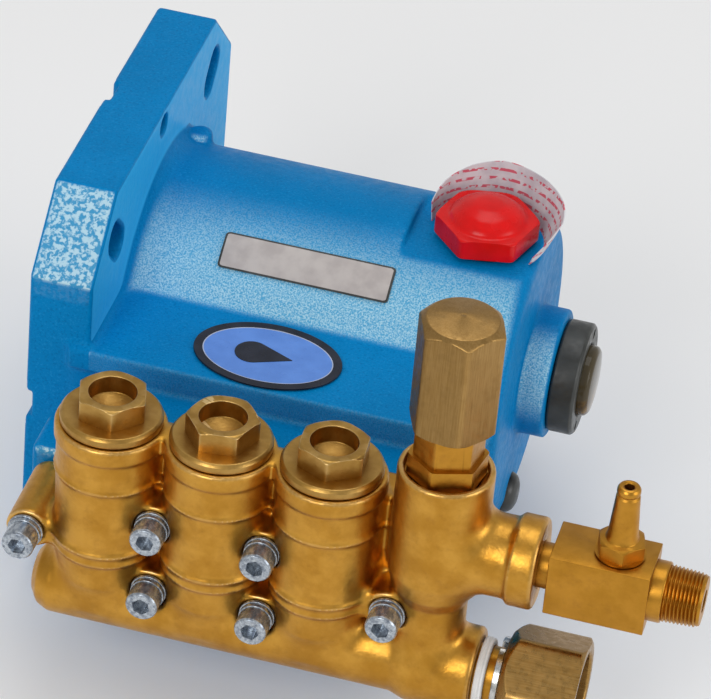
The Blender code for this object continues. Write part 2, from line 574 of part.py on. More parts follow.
TAG_R = 19.6
TAG_EDGE = [
    (-35, 46.2), (-20, 52.0), (-5, 58.5), (10, 61.0), (30, 61.0), (50, 61.0), (70, 61.0), (90, 61.0),
    (110, 61.0), (125, 59.5), (140, 55.0), (155, 51.5), (170, 50.5), (185, 50.0), (200, 49.5),
]
tag_mesh = bpy.data.meshes.new("filler_tag")
tag_points = []
tag_faces = []
for i, (angle, top) in enumerate(TAG_EDGE):
    a = radians(angle)
    for z in (FLAT_Z + 0.4, top):
        tag_points.append((TAG_R * cos(a) * MM, TAG_R * sin(a) * MM, z * MM))
    if i:
        tag_faces.append((2 * i - 2, 2 * i, 2 * i + 1, 2 * i - 1))
tag_mesh.from_pydata(tag_points, [], tag_faces)
tag = shape("filler_tag", tag_mesh, at=FILLER, mat=PAPER)
thickness = tag.modifiers.new("Paper", "SOLIDIFY")
thickness.thickness = 0.4 * MM
thickness.offset = 0.0

BEZEL_BACK = NECK_END + GAP
BEZEL_FACE = 163.2
bezel_outline = [
    (17.4, BEZEL_FACE), (18.3, BEZEL_FACE - 0.9), (18.3, BEZEL_BACK), (12.2, BEZEL_BACK), (12.2, 146.0),
    (9.0, 146.0), (9.0, 157.6), (11.9, 158.6), (11.9, BEZEL_FACE),
]
bezel = turned("gauge_bezel", bezel_outline, MID, ring=True, axis="X", mat=BLACK)
for number, angle in enumerate((60.0, 240.0), 1):
    spot = (0, 14.8 * cos(radians(angle)), 14.8 * sin(radians(angle)))
    cut(bezel, rod(f"cut_spanner_{number}", 1.5, 159.4, 166.0, 12, at=spot, axis="X"))
glass_outline = [
    (0, 167.2), (6.0, 167.0), (9.6, 166.4), (11.0, 165.4), (11.5, 164.0), (11.5, 159.0), (8.6, 157.6),
    (8.6, 154.0), (0, 154.0),
]
turned("gauge_glass", glass_outline, SMALL, axis="X", mat=GLASS)

# ------------------------------------------------------------ plate, badge
PLATE_ANGLE = 125.0
PLATE_HALF = 7.0
nameplate = tube("nameplate", 49.7, 49.1, 47.8, 103.2, BIG, axis="X", mat=PLATE)
wedge = [(0.0, 0.0)]
for angle in (PLATE_ANGLE - PLATE_HALF, PLATE_ANGLE + PLATE_HALF):
    wedge.append((70 * cos(radians(angle)), 70 * sin(radians(angle))))
keep(nameplate, prism("plate_wedge", across(wedge), 40.0, 112.0, axis="X"))
prism("badge", ellipse(23.5, 16.4, 32), LEDGE_Z + GAP, LEDGE_Z + 1.1, at=(73.1, -60.9, 0), mat=BADGE)
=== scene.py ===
"""Looks for the triplex plunger pump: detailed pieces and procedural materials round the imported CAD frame.

Shapes are given in millimetres in the frame's own axes: the origin is on the crank axis in the engine-side
face, +X runs towards the oil gauge, -Y towards the brass manifold and +Z up.
"""

from math import acos, cos, pi, radians, sin, sqrt

import bmesh
import bpy
import numpy as np
from mathutils import Matrix, Vector


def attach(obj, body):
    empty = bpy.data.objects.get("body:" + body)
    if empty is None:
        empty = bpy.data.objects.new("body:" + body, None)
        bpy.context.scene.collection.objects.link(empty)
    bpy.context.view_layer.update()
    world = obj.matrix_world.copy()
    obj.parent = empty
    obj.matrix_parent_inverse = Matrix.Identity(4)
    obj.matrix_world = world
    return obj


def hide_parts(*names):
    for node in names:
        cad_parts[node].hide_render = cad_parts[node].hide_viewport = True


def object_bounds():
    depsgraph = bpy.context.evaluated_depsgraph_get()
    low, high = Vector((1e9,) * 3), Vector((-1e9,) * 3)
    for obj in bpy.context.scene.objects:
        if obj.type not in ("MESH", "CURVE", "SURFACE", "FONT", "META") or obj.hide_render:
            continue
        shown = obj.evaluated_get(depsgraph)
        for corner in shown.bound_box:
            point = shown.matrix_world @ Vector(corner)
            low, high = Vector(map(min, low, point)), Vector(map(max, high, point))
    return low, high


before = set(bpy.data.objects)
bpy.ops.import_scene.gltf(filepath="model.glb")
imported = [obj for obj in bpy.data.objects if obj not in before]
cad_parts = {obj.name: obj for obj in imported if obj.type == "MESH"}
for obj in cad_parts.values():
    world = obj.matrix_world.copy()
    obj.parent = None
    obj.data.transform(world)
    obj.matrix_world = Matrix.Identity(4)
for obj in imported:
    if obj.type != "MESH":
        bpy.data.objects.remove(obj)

MM = 0.001
CAD_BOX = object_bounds()

# Places shared by several pieces
CYLINDERS = (42.8, 76.8, 110.8)
CHAMBER_Y = -126.8
GALLERY = (0, CHAMBER_Y, -21.0)
INLET = (0, CHAMBER_Y, -21.5)
OUTLET_Z = 24.5
OUTLET = (0, CHAMBER_Y, OUTLET_Z)
UNLOADER = (144.8, CHAMBER_Y, 0)
BARB_X = 198.6
FILLER_X = 126.0
FLAT_Z = 45.4
LEDGE_Z = 27.0
BACK_Y = 52.0
SCREW_SEAT = 134.8
SCREWS = ((59.8, 12.2), (93.8, 12.2), (59.8, -12.2), (93.8, -12.2), (20.3, 0.0), (133.3, 0.0))
REAR_HOLES = ((31.0, -36.0), (31.0, 0.0), (121.0, -36.0), (121.0, 0.0))
DRAIN = (-13.0, -41.0)
CASE_END = 145.0
NECK_END = 154.5
FLANGE_THICKNESS = 20.2
BARREL_RADIUS = 48.8
SLOT_RADIUS = 73.0
SCREW_HOLE = 3.3

# Grid steps of the two castings
CAST_STEP = 0.85
FORGED_STEP = 0.65

# Edges that bend by more degrees than this look sharp
SHARP_ANGLE = 34.0

# The side towards which a sheen is painted into the enamel's colour, the distance from the axis at which the
# flange's outer faces begin, and the place at the side of the barrel where the painted sheen gives way to the
# ledge
SHINE_SIDE = (0.0, -0.86, 0.5)
OUTER_FACES = 86.2
SHINE_END_Y = -62.0

# The height between the rules on the paper tag
RULE_STEP = 3.1


# ---- nodes
class Nodes:
    """Short calls for building one material's node tree."""

    def __init__(self, name):
        self.material = bpy.data.materials.new(name)
        self.material.use_nodes = True
        self.tree = self.material.node_tree
        self.tree.nodes.clear()
        self.output = self.tree.nodes.new("ShaderNodeOutputMaterial")
        self.shader = self.tree.nodes.new("ShaderNodeBsdfPrincipled")
        self.link(self.shader.outputs[0], self.output.inputs["Surface"])
        self.place = self.tree.nodes.new("ShaderNodeTexCoord").outputs["Object"]

    def link(self, source, socket):
        if isinstance(source, bpy.types.NodeSocket):
            self.tree.links.new(source, socket)
        elif isinstance(source, tuple) and len(source) == 3 and socket.type == "RGBA":
            socket.default_value = (*source, 1.0)
        else:
            socket.default_value = source

    def stretched(self, x, y, z):
        node = self.tree.nodes.new("ShaderNodeMapping")
        self.link(self.place, node.inputs["Vector"])
        node.inputs["Scale"].default_value = (x, y, z)
        return node.outputs[0]

    def noise(self, size, detail=2.0, rough=0.5, vector=None):
        """Noise whose blotches are about size millimetres across."""
        node = self.tree.nodes.new("ShaderNodeTexNoise")
        self.link(vector or self.place, node.inputs["Vector"])
        node.inputs["Scale"].default_value = 1.0 / (size * MM)
        node.inputs["Detail"].default_value = detail
        node.inputs["Roughness"].default_value = rough
        return node.outputs["Fac"]

    def pointiness(self):
        return self.tree.nodes.new("ShaderNodeNewGeometry").outputs["Pointiness"]

    def facing(self, direction):
        """How far the surface faces a direction, from -1 to 1."""
        node = self.tree.nodes.new("ShaderNodeVectorMath")
        node.operation = "DOT_PRODUCT"
        normal = self.tree.nodes.new("ShaderNodeNewGeometry").outputs["Normal"]
        self.link(normal, node.inputs[0])
        node.inputs[1].default_value = Vector(direction).normalized()
        return node.outputs["Value"]

    def ramp(self, source, low, high, start=0.0, end=1.0):
        """start where source is low, rising to end where it is high."""
        node = self.tree.nodes.new("ShaderNodeMapRange")
        node.interpolation_type = "SMOOTHSTEP"
        self.link(source, node.inputs["Value"])
        node.inputs["From Min"].default_value = low
        node.inputs["From Max"].default_value = high
        node.inputs["To Min"].default_value = start
        node.inputs["To Max"].default_value = end
        return node.outputs["Result"]

    def math(self, operation, a, b=0.0):
        node = self.tree.nodes.new("ShaderNodeMath")
        node.operation = operation
        self.link(a, node.inputs[0])
        self.link(b, node.inputs[1])
        return node.outputs[0]

    def times(self, a, b):
        return self.math("MULTIPLY", a, b)

    def mix(self, share, a, b):
        node = self.tree.nodes.new("ShaderNodeMix")
        node.data_type = "RGBA"
        self.link(share, node.inputs["Factor"])
        self.link(a, node.inputs["A"])
        self.link(b, node.inputs["B"])
        return node.outputs["Result"]

    def coordinate(self, axis):
        node = self.tree.nodes.new("ShaderNodeSeparateXYZ")
        self.link(self.place, node.inputs[0])
        return node.outputs[axis]

    def bump(self, height, depth, strength=1.0):
        """Raises the surface by up to depth millimetres. Calls stack."""
        node = self.tree.nodes.new("ShaderNodeBump")
        node.inputs["Strength"].default_value = strength
        node.inputs["Distance"].default_value = depth * MM
        self.link(height, node.inputs["Height"])
        under = self.shader.inputs["Normal"]
        if under.links:
            self.link(under.links[0].from_socket, node.inputs["Normal"])
        self.link(node.outputs["Normal"], under)

    def set(self, **values):
        for name, value in values.items():
            self.link(value, self.shader.inputs[name.replace("_", " ")])
        return self.material


def painted():
    """Cast metal under thick blue enamel with a dark grain, and painted light: a pebbled sheen on one side, a
    paler lit +X flange face and shade in the hollows.
    """
    m = Nodes("speckled_blue_enamel")
    x, y, z = (m.coordinate(axis) for axis in "XYZ")
    on_flange = m.ramp(x, (FLANGE_THICKNESS + 0.3) * MM, (FLANGE_THICKNESS + 1.0) * MM, 1.0, 0.0)
    grain = m.noise(0.8, 2.0, 0.6)
    base = m.mix(m.ramp(m.noise(34, 3.0), 0.3, 0.7), (0.0, 0.185, 0.46), (0.0, 0.215, 0.53))
    base = m.mix(m.ramp(grain, 0.54, 0.70, 0.0, 0.5), base, (0.0, 0.12, 0.33))
    base = m.mix(m.ramp(grain, 0.30, 0.44, 0.35, 0.0), base, (0.02, 0.30, 0.64))
    # Painted light: the flange's faces towards +X are painted a paler blue, as if lit
    lit_flange_face = m.times(m.ramp(m.facing((1, 0, 0)), 0.93, 0.99), on_flange)
    base = m.mix(lit_flange_face, base, (0.035, 0.42, 0.82))

    # The painted sheen is coarse on the flange, but absent inside its bolt slots
    reach = m.math("SQRT", m.math("ADD", m.math("POWER", y, 2.0), m.math("POWER", z, 2.0)))
    inner = m.ramp(reach, OUTER_FACES * MM, (OUTER_FACES + 1) * MM, 1.0, 0.0)
    in_slot = m.times(on_flange, inner)
    towards = m.facing(SHINE_SIDE)
    lit = m.times(m.ramp(towards, 0.84, 1.0), m.math("SUBTRACT", 1.0, in_slot))
    coarse = m.noise(1.5, 2.0, 0.6)
    pebbled = m.mix(m.ramp(coarse, 0.42, 0.58), (0.03, 0.27, 0.52), (0.60, 0.80, 0.86))
    shiny = m.mix(m.times(lit, 0.55), base, (0.24, 0.55, 0.76))
    shiny = m.mix(m.times(lit, 0.75), shiny, pebbled)

    # Elsewhere the painted sheen is fine, and comes in slowly round the barrel
    fine = m.noise(0.5, 2.0, 0.6)
    glow = m.math("POWER", m.ramp(towards, 0.55, 1.0), 1.6)
    sheen = m.mix(m.ramp(fine, 0.36, 0.64), (0.10, 0.42, 0.68), (0.48, 0.76, 0.88))
    on_barrel = m.ramp(y, (SHINE_END_Y - 4) * MM, SHINE_END_Y * MM, 0.12, 0.85)
    soft = m.mix(m.times(glow, on_barrel), base, sheen)
    base = m.mix(on_flange, soft, shiny)

    # Painted shade: the enamel is painted darker in the hollows, where pointiness is low
    base = m.mix(m.ramp(m.pointiness(), 0.42, 0.49, 0.6, 0.0), base, (0.0, 0.055, 0.17))
    m.bump(m.mix(on_flange, fine, coarse), 0.14, 0.7)
    m.bump(grain, 0.08, 0.6)
    rough = m.ramp(m.noise(3.0, 2.0), 0.3, 0.7, 0.36, 0.5)
    return m.set(Base_Color=base, Roughness=rough, Specular_IOR_Level=0.08, Specular_Tint=(0.4, 0.75, 1.0))


def brass(name, light, dark, rough_low, rough_high, grain_size, depth, tarnish, edge_highlight=0.0):
    """Brass with forging or turning marks, a browner film in patches, painted shade in its hollows and a
    painted highlight on its edges.
    """
    m = Nodes(name)
    broad = m.noise(11, 4.0, 0.6)
    grain = m.noise(grain_size, 3.0, 0.6)
    base = m.mix(m.ramp(broad, 0.32, 0.7), dark, light)
    film = m.ramp(m.noise(4.5, 5.0, 0.65), 0.48, 0.74, 0.0, tarnish)
    base = m.mix(film, base, (0.24, 0.10, 0.02))
    # Painted shade: darker brown in the hollows, where pointiness is low
    hollow_shade = m.ramp(m.pointiness(), 0.40, 0.49, 0.6, 0.0)
    base = m.mix(hollow_shade, base, (0.17, 0.065, 0.01))
    # Painted highlight: edges and ridges, where pointiness is high, are painted paler
    highlit_edge = m.ramp(m.pointiness(), 0.515, 0.57, 0.0, edge_highlight)
    base = m.mix(highlit_edge, base, (0.90, 0.66, 0.32))
    m.bump(grain, depth, 0.6)
    rough = m.ramp(m.noise(2.4, 3.0), 0.3, 0.72, rough_low, rough_high)
    return m.set(Base_Color=base, Roughness=rough, Metallic=1.0)


def brushed(name, light, dark, rough, along, depth=0.02, spun=0.0, metal=1.0, painted_side_shade=0.0):
    """Metal with fine lathe or grinding lines; along is the mapping that stretches them.

    spun is how far the gloss is drawn out round the piece's upright axis, and
    painted_side_shade how much painted shade darkens the metal on the side away from the outlet.
    """
    m = Nodes(name)
    lines = m.noise(1.0, 3.0, 0.6, vector=m.stretched(*along))
    blotch = m.noise(3.5, 3.0)
    base = m.mix(m.ramp(lines, 0.3, 0.7), dark, light)
    base = m.mix(m.ramp(blotch, 0.5, 0.75, 0.0, 0.25), base, tuple(v * 0.6 for v in dark))
    if painted_side_shade:
        # Painted shade: the side facing away from the outlet is painted darker
        away = m.ramp(m.facing((-0.85, -0.5, 0.0)), 0.2, 0.9, 0.0, painted_side_shade)
        base = m.mix(away, base, tuple(v * 0.35 for v in dark))
    m.bump(lines, depth, 0.5)
    shine = m.ramp(m.noise(2.0, 3.0), 0.3, 0.7, rough - 0.06, rough + 0.1)
    if spun:
        tangent = m.tree.nodes.new("ShaderNodeTangent")
        tangent.direction_type = "RADIAL"
        tangent.axis = "Z"
        m.link(tangent.outputs[0], m.shader.inputs["Tangent"])
    return m.set(Base_Color=base, Roughness=shine, Metallic=metal, Anisotropic=spun)


def moulded(name, light, dark, rough_low, rough_high, size, depth, gloss=0.5):
    """Plastic, rubber, ceramic or paper: a slight change of shade, a fine texture and uneven gloss."""
    m = Nodes(name)
    base = m.mix(m.ramp(m.noise(6.0, 3.0), 0.3, 0.7), dark, light)
    texture = m.noise(size, 3.0, 0.55)
    m.bump(texture, depth, 0.6)
    rough = m.ramp(m.noise(size * 4, 3.0), 0.3, 0.7, rough_low, rough_high)
    return m.set(Base_Color=base, Roughness=rough, Specular_IOR_Level=gloss)


def ruled_paper():
    """White tag paper with plain pale red rules across it and broken ones between them."""
    m = Nodes("ruled_tag_paper")
    base = m.mix(m.ramp(m.noise(5.0, 3.0), 0.3, 0.7), (0.54, 0.53, 0.57), (0.68, 0.67, 0.70))
    height = m.times(m.coordinate("Z"), 1000.0 / RULE_STEP)
    row = m.math("PINGPONG", height, 0.5)
    rules = m.ramp(row, 0.14, 0.20, 1.0, 0.0)
    broken = m.ramp(m.noise(1.6, 1.0), 0.46, 0.54)
    base = m.mix(m.times(rules, m.times(broken, 0.9)), base, (0.60, 0.05, 0.10))
    m.bump(m.noise(0.35, 3.0, 0.55), 0.02, 0.6)
    return m.set(Base_Color=base, Roughness=m.ramp(m.noise(1.4, 3.0), 0.3, 0.7, 0.58, 0.72))


def glass_over_oil():
    """The clear dome of the oil gauge, with the amber of the oil behind it."""
    m = Nodes("amber_gauge_glass")
    level = m.ramp(m.coordinate("Z"), -1.2 * MM, 0.4 * MM)
    swirl = m.ramp(m.noise(5.0, 3.0), 0.35, 0.7)
    oil = m.mix(swirl, (0.05, 0.03, 0.008), (0.20, 0.11, 0.025))
    base = m.mix(level, oil, (0.07, 0.055, 0.03))
    m.bump(m.noise(9.0, 1.0), 0.03, 0.3)
    rough = m.ramp(m.noise(4.0, 2.0), 0.3, 0.7, 0.03, 0.08)
    m.set(Coat_Weight=0.15, Coat_Roughness=0.03)
    return m.set(Base_Color=base, Roughness=rough, Specular_IOR_Level=0.15)


PAINT = painted()
FORGED = brass(
    "forged_yellow_brass", (0.62, 0.325, 0.055), (0.47, 0.225, 0.028), 0.30, 0.42, 1.1, 0.12, 0.22, 0.8,
)
PLUG_BRASS = brass(
    "aged_plug_brass", (0.50, 0.30, 0.085), (0.37, 0.205, 0.045), 0.28, 0.42, 0.8, 0.07, 0.3, 0.7,
)
TURNED_BRASS = brass(
    "turned_brass", (0.54, 0.26, 0.035), (0.43, 0.20, 0.022), 0.30, 0.42, 0.5, 0.03, 0.25,
)
CAP_BRASS = brushed(
    "brushed_cap_brass", (0.42, 0.255, 0.09), (0.34, 0.195, 0.06), 0.34, (2.5, 2.5, 0.1), 0.008,
    spun=0.8, painted_side_shade=0.5,
)
NUT_BRASS = brushed(
    "brushed_nut_brass", (0.40, 0.24, 0.08), (0.31, 0.17, 0.045), 0.30, (0.1, 2.5, 2.5), 0.012,
)
STEEL = brushed("ground_steel", (0.60, 0.61, 0.62), (0.38, 0.39, 0.40), 0.28, (0.2, 1.0, 1.0))
ZINC = brushed(
    "bright_zinc_plate", (0.52, 0.57, 0.62), (0.20, 0.23, 0.28), 0.22, (1.0, 0.4, 1.0), 0.03,
    metal=0.7,
)
STAINLESS = brushed("turned_stainless", (0.62, 0.62, 0.60), (0.42, 0.42, 0.41), 0.22, (1.0, 1.0, 0.25))
ALLOY = brushed("die_cast_alloy", (0.64, 0.65, 0.66), (0.46, 0.47, 0.48), 0.42, (1.0, 1.0, 1.0), 0.05)
CERAMIC = moulded("ground_ceramic", (0.86, 0.85, 0.80), (0.78, 0.77, 0.71), 0.10, 0.18, 0.8, 0.01)
RUBBER = moulded("black_rubber", (0.022, 0.022, 0.024), (0.012, 0.012, 0.013), 0.5, 0.68, 0.5, 0.04)
RED = moulded("glossy_red_plastic", (0.72, 0.0, 0.0), (0.62, 0.0, 0.0), 0.2, 0.3, 2.2, 0.05, 0.3)
BLACK = moulded("satin_black_bezel", (0.040, 0.043, 0.040), (0.020, 0.022, 0.020), 0.30, 0.46, 0.6, 0.03)
GLASS = glass_over_oil()
PAPER = ruled_paper()
PLATE_FOIL = moulded("plate_foil_metal", (0.50, 0.46, 0.44), (0.40, 0.36, 0.35), 0.42, 0.5, 0.5, 0.01)
BADGE_FIELD = moulded("badge_periwinkle", (0.12, 0.28, 0.74), (0.10, 0.24, 0.66), 0.26, 0.36, 0.8, 0.01, 0.3)
BADGE_DARK = moulded("badge_ink", (0.016, 0.020, 0.035), (0.008, 0.011, 0.022), 0.26, 0.36, 0.8, 0.01, 0.3)
BADGE_PALE = moulded("badge_pale_line", (0.50, 0.56, 0.72), (0.42, 0.48, 0.64), 0.26, 0.36, 0.8, 0.01, 0.3)
TAPE = moulded("wrapped_thread_tape", (0.84, 0.84, 0.83), (0.70, 0.70, 0.69), 0.45, 0.6, 0.8, 0.08)


# ---- solids from a distance field
def smooth_min(a, b, k):
    """The lesser of a and b, with a fillet of about k where they meet."""
    if k <= 0:
        return np.minimum(a, b)
    h = np.clip(0.5 + 0.5 * (b - a) / k, 0, 1)
    return b + (a - b) * h - k * h * (1 - h)


def polygon_distance(u, v, points):
    """Signed distance in the (u, v) plane to a closed outline, negative inside."""
    nearest = np.full(u.shape, 1e9, np.float32)
    inside = np.zeros(u.shape, bool)
    for (au, av), (bu, bv) in zip(points, points[1:] + points[:1]):
        eu, ev = bu - au, bv - av
        share = np.clip(((u - au) * eu + (v - av) * ev) / (eu * eu + ev * ev), 0, 1)
        nearest = np.minimum(nearest, (u - au - eu * share) ** 2 + (v - av - ev * share) ** 2)
        if ev != 0:
            crosses = (av > v) != (bv > v)
            inside ^= crosses & (u < eu * (v - av) / ev + au)
    return np.where(inside, -1, 1) * np.sqrt(nearest)


def drawn_out(flat, along, low, high, soft):
    """Distance to a flat shape drawn out between low and high, with its edges rounded to soft."""
    ends = np.abs(along - (low + high) / 2) - (high - low) / 2 + soft
    sides = flat + soft
    outside = np.sqrt(np.maximum(ends, 0) ** 2 + np.maximum(sides, 0) ** 2)
    return outside + np.minimum(np.maximum(ends, sides), 0) - soft


class Field:
    """A grid of signed distances in mm, to which shapes are added and from which they are cut."""

    def __init__(self, low, high, step, bore_soft=0.8):
        self.step = step
        self.bore_soft = bore_soft
        self.low = np.array(low, float)
        counts = [int(np.ceil((b - a) / step)) + 1 for a, b in zip(low, high)]
        self.axes = [a + step * np.arange(n) for a, n in zip(low, counts)]
        self.values = np.full(counts, 50.0, np.float32)

    def window(self, low, high):
        """The part of the grid round a box, with the three coordinates there."""
        ranges = []
        for axis, a, b in zip(self.axes, low, high):
            first, last = np.searchsorted(axis, (a, b))
            ranges.append(slice(max(first - 1, 0), min(last + 1, len(axis))))
        x, y, z = (axis[r].astype(np.float32) for axis, r in zip(self.axes, ranges))
        return tuple(ranges), x[:, None, None], y[None, :, None], z[None, None, :]

    def change(self, shape, box, soft, away):
        margin = 3 * self.step + soft if away else 12.0
        low = [v - margin for v in box[0]]
        high = [v + margin for v in box[1]]
        place, x, y, z = self.window(low, high)
        made = shape(x, y, z)
        if away:
            self.values[place] = -smooth_min(-self.values[place], made, soft)
        else:
            self.values[place] = smooth_min(self.values[place], made, soft)

    def block(self, low, high, soft=1.0, fillet=0.0, away=False):
        def shape(x, y, z):
            parts = []
            for axis, a, b in zip((x, y, z), low, high):
                parts.append(np.abs(axis - (a + b) / 2) - (b - a) / 2 + soft)
            outside = sqrt_of(*[np.maximum(p, 0) for p in parts])
            inside = np.minimum(np.maximum(np.maximum(parts[0], parts[1]), parts[2]), 0)
            return outside + inside - soft

        self.change(shape, (low, high), fillet, away)

    def rod(self, axis, at, radius, low, high, soft=0.8, fillet=0.0, away=False):
        self.turned(axis, at, [(0, low), (radius, low), (radius, high), (0, high)], soft, fillet, away)

    def bore(self, axis, at, radius, low, high, fillet=0.0):
        self.rod(axis, at, radius, low, high, self.bore_soft, fillet, True)

    def turned(self, axis, at, profile, soft=0.6, fillet=0.0, away=False):
        """A turned shape about a line along axis through at. The profile is (radius, place along axis)."""
        widest = max(r for r, _ in profile)
        low = [v - widest for v in at]
        high = [v + widest for v in at]
        low[axis] = min(z for _, z in profile)
        high[axis] = max(z for _, z in profile)
        mirrored = list(profile) + [(-r, z) for r, z in reversed(profile) if r > 0]

        plain = len(profile) == 4 and profile[1][0] == profile[2][0]

        def shape(*xyz):
            sides = [xyz[i] - at[i] for i in range(3) if i != axis]
            radius = np.sqrt(sides[0] ** 2 + sides[1] ** 2)
            if plain:
                return drawn_out(radius - widest, xyz[axis], low[axis], high[axis], soft)
            radius, along = np.broadcast_arrays(radius, xyz[axis])
            return polygon_distance(radius, along, mirrored)

        self.change(shape, (low, high), fillet, away)

    def prism(self, outline, low_x, high_x, soft=1.0, fillet=0.0, away=False):
        """An outline of (y, z) points drawn out along X."""
        ys, zs = zip(*outline)
        box = ((low_x, min(ys), min(zs)), (high_x, max(ys), max(zs)))

        def shape(x, y, z):
            y, z = np.broadcast_arrays(y, z)
            return drawn_out(polygon_distance(y, z, list(outline)), x, low_x, high_x, soft)

        self.change(shape, box, fillet, away)

    def surface(self, name, share):
        """A mesh of the zero level by surface nets, in metres, with share of its faces kept."""
        values = self.values
        cells = tuple(n - 1 for n in values.shape)
        corners, crossings, quads = [], [], []
        for axis in range(3):
            first = np.moveaxis(values, axis, 0)[:-1]
            second = np.moveaxis(values, axis, 0)[1:]
            found = np.argwhere((first < 0) != (second < 0))
            a = first[tuple(found.T)]
            b = second[tuple(found.T)]
            points = found.astype(float)
            points[:, 0] += a / (a - b)
            points = np.insert(points[:, 1:], axis, points[:, 0], axis=1)
            index = np.insert(found[:, 1:], axis, found[:, 0], axis=1)
            u, v = (axis + 1) % 3, (axis + 2) % 3
            around = []
            for du, dv in ((-1, -1), (0, -1), (0, 0), (-1, 0)):
                cell = index.copy()
                cell[:, u] += du
                cell[:, v] += dv
                around.append(np.ravel_multi_index(tuple(cell.T), cells))
                corners.append(around[-1])
                crossings.append(points)
            quad = np.stack(around, 1)
            quads.append(np.where((a < 0)[:, None], quad, quad[:, ::-1]))
        owners, where = np.unique(np.concatenate(corners), return_inverse=True)
        crossings = np.concatenate(crossings)
        counts = np.bincount(where)
        middle = np.stack([np.bincount(where, crossings[:, i]) / counts for i in range(3)], 1)
        faces = np.searchsorted(owners, np.concatenate(quads))
        mesh = bpy.data.meshes.new(name)
        mesh.from_pydata((self.low + middle * self.step) * MM, [], faces.tolist())
        obj = bpy.data.objects.new(name, mesh)
        bpy.context.scene.collection.objects.link(obj)
        smooth = obj.modifiers.new("Smooth", "SMOOTH")
        smooth.factor = 0.5
        smooth.iterations = 2
        fewer = obj.modifiers.new("Fewer", "DECIMATE")
        fewer.ratio = share
        bake_modifiers(obj)
        obj.data.shade_smooth()
        return obj


def sqrt_of(*parts):
    return np.sqrt(sum(p * p for p in parts))


def bake_modifiers(obj):
    """Replaces the mesh with what its modifiers make of it."""
    bpy.context.view_layer.update()
    graph = bpy.context.evaluated_depsgraph_get()
    made = bpy.data.meshes.new_from_object(obj.evaluated_get(graph))
    made.name = obj.data.name
    obj.modifiers.clear()
    obj.data = made


# ---- turned pieces
AXES = {
    "Z": Matrix.Identity(3),
    "X": Matrix.Rotation(pi / 2, 3, "Y"),
    "-Y": Matrix.Rotation(pi / 2, 3, "X"),
    "Y": Matrix.Rotation(-pi / 2, 3, "X"),
}


def shade(mesh, made, angle=SHARP_ANGLE):
    """Writes an edited mesh back, smooth except across edges that bend by more than angle."""
    for highlit_edge in made.edges:
        highlit_edge.smooth = len(highlit_edge.link_faces) != 2 or highlit_edge.calc_face_angle(0.0) <= radians(angle)
    made.to_mesh(mesh)
    made.free()
    mesh.shade_smooth()


def new_piece(name, points, faces, at=(0, 0, 0), axis="Z", smooth_angle=SHARP_ANGLE):
    """A mesh object from points in mm, turned to an axis and moved to its place in the frame."""
    placed = [(AXES[axis] @ Vector(p) + Vector(at)) * MM for p in points]
    mesh = bpy.data.meshes.new(name)
    mesh.from_pydata(placed, [], faces)
    made = bmesh.new()
    made.from_mesh(mesh)
    bmesh.ops.remove_doubles(made, verts=made.verts, dist=1e-7)
    bmesh.ops.recalc_face_normals(made, faces=made.faces)
    shade(mesh, made, smooth_angle)
    obj = bpy.data.objects.new(name, mesh)
    bpy.context.scene.collection.objects.link(obj)
    return obj


def softened(profile, radius, ring):
    """The profile with each corner rounded off to about radius."""
    points = [Vector(p) for p in profile]
    made = []
    for i, here in enumerate(points):
        back, ahead = points[i - 1] - here, points[(i + 1) % len(points)] - here
        turn = back.angle(ahead, pi) if min(back.length, ahead.length) > 1e-6 else pi
        at_end = i in (0, len(points) - 1) and not ring
        if at_end or pi - turn < radians(12):
            made.append(here)
            continue
        reach = min(radius, 0.42 * back.length, 0.42 * ahead.length)
        start = here + back.normalized() * reach
        end = here + ahead.normalized() * reach
        for share in (0.0, 0.33, 0.67, 1.0):
            one = start.lerp(here, share)
            two = here.lerp(end, share)
            made.append(one.lerp(two, share))
    return made


def lathe(name, profile, at=(0, 0, 0), axis="Z", steps=72, soft=0.3, ring=False, flats=None, turn=0.0):
    """A turned piece. The profile is (radius, height) down its outer side.

    flats is (across, low, high): between those heights the piece is cut to a hexagon of that
    size across its flats.
    """
    outline = softened(profile, soft, ring)
    if flats:
        outline = refined(outline, flats)
    rings = []
    points = []
    for radius, height in outline:
        if radius < 1e-6:
            rings.append([len(points)])
            points.append((0.0, 0.0, height))
            continue
        row = []
        for i in range(steps):
            angle = 2 * pi * i / steps
            reach = radius
            if on_flats(flats, radius, height):
                reach = min(radius, hexagon(angle, flats[0]))
            angle += radians(turn)
            row.append(len(points))
            points.append((reach * cos(angle), reach * sin(angle), height))
        rings.append(row)
    faces = []
    pairs = list(zip(rings, rings[1:]))
    if ring:
        pairs.append((rings[-1], rings[0]))
    for upper, lower in pairs:
        if len(upper) == 1 and len(lower) == 1:
            continue
        for i in range(steps):
            j = (i + 1) % steps
            if len(upper) == 1:
                faces.append((upper[0], lower[i], lower[j]))
            elif len(lower) == 1:
                faces.append((upper[i], lower[0], upper[j]))
            else:
                faces.append((upper[i], lower[i], lower[j], upper[j]))
    return new_piece(name, points, faces, at, axis)


def on_flats(flats, radius, height):
    if not flats:
        return False
    across, low, high = flats
    return low <= height <= high and radius < 1.2 * across / sqrt(3)


def hexagon(angle, across):
    """Distance from the middle to the side of a hexagon with a just rounded corner at angle zero."""
    from_flat = angle % (pi / 3) - pi / 6
    return min(across / 2 / cos(from_flat), across / sqrt(3) * 0.985)


def refined(outline, flats):
    """More rows where a sloping side crosses the flats, so that their curved edges come out."""
    made = [outline[0]]
    for before, here in zip(outline, outline[1:]):
        slopes = abs(before[0] - here[0]) > 0.2
        wide = max(before[0], here[0]) > flats[0] / 2
        within = flats[1] <= min(before[1], here[1]) and max(before[1], here[1]) <= flats[2]
        parts = 10 if slopes and wide and within else 1
        for i in range(1, parts + 1):
            made.append(before.lerp(here, i / parts))
    return made


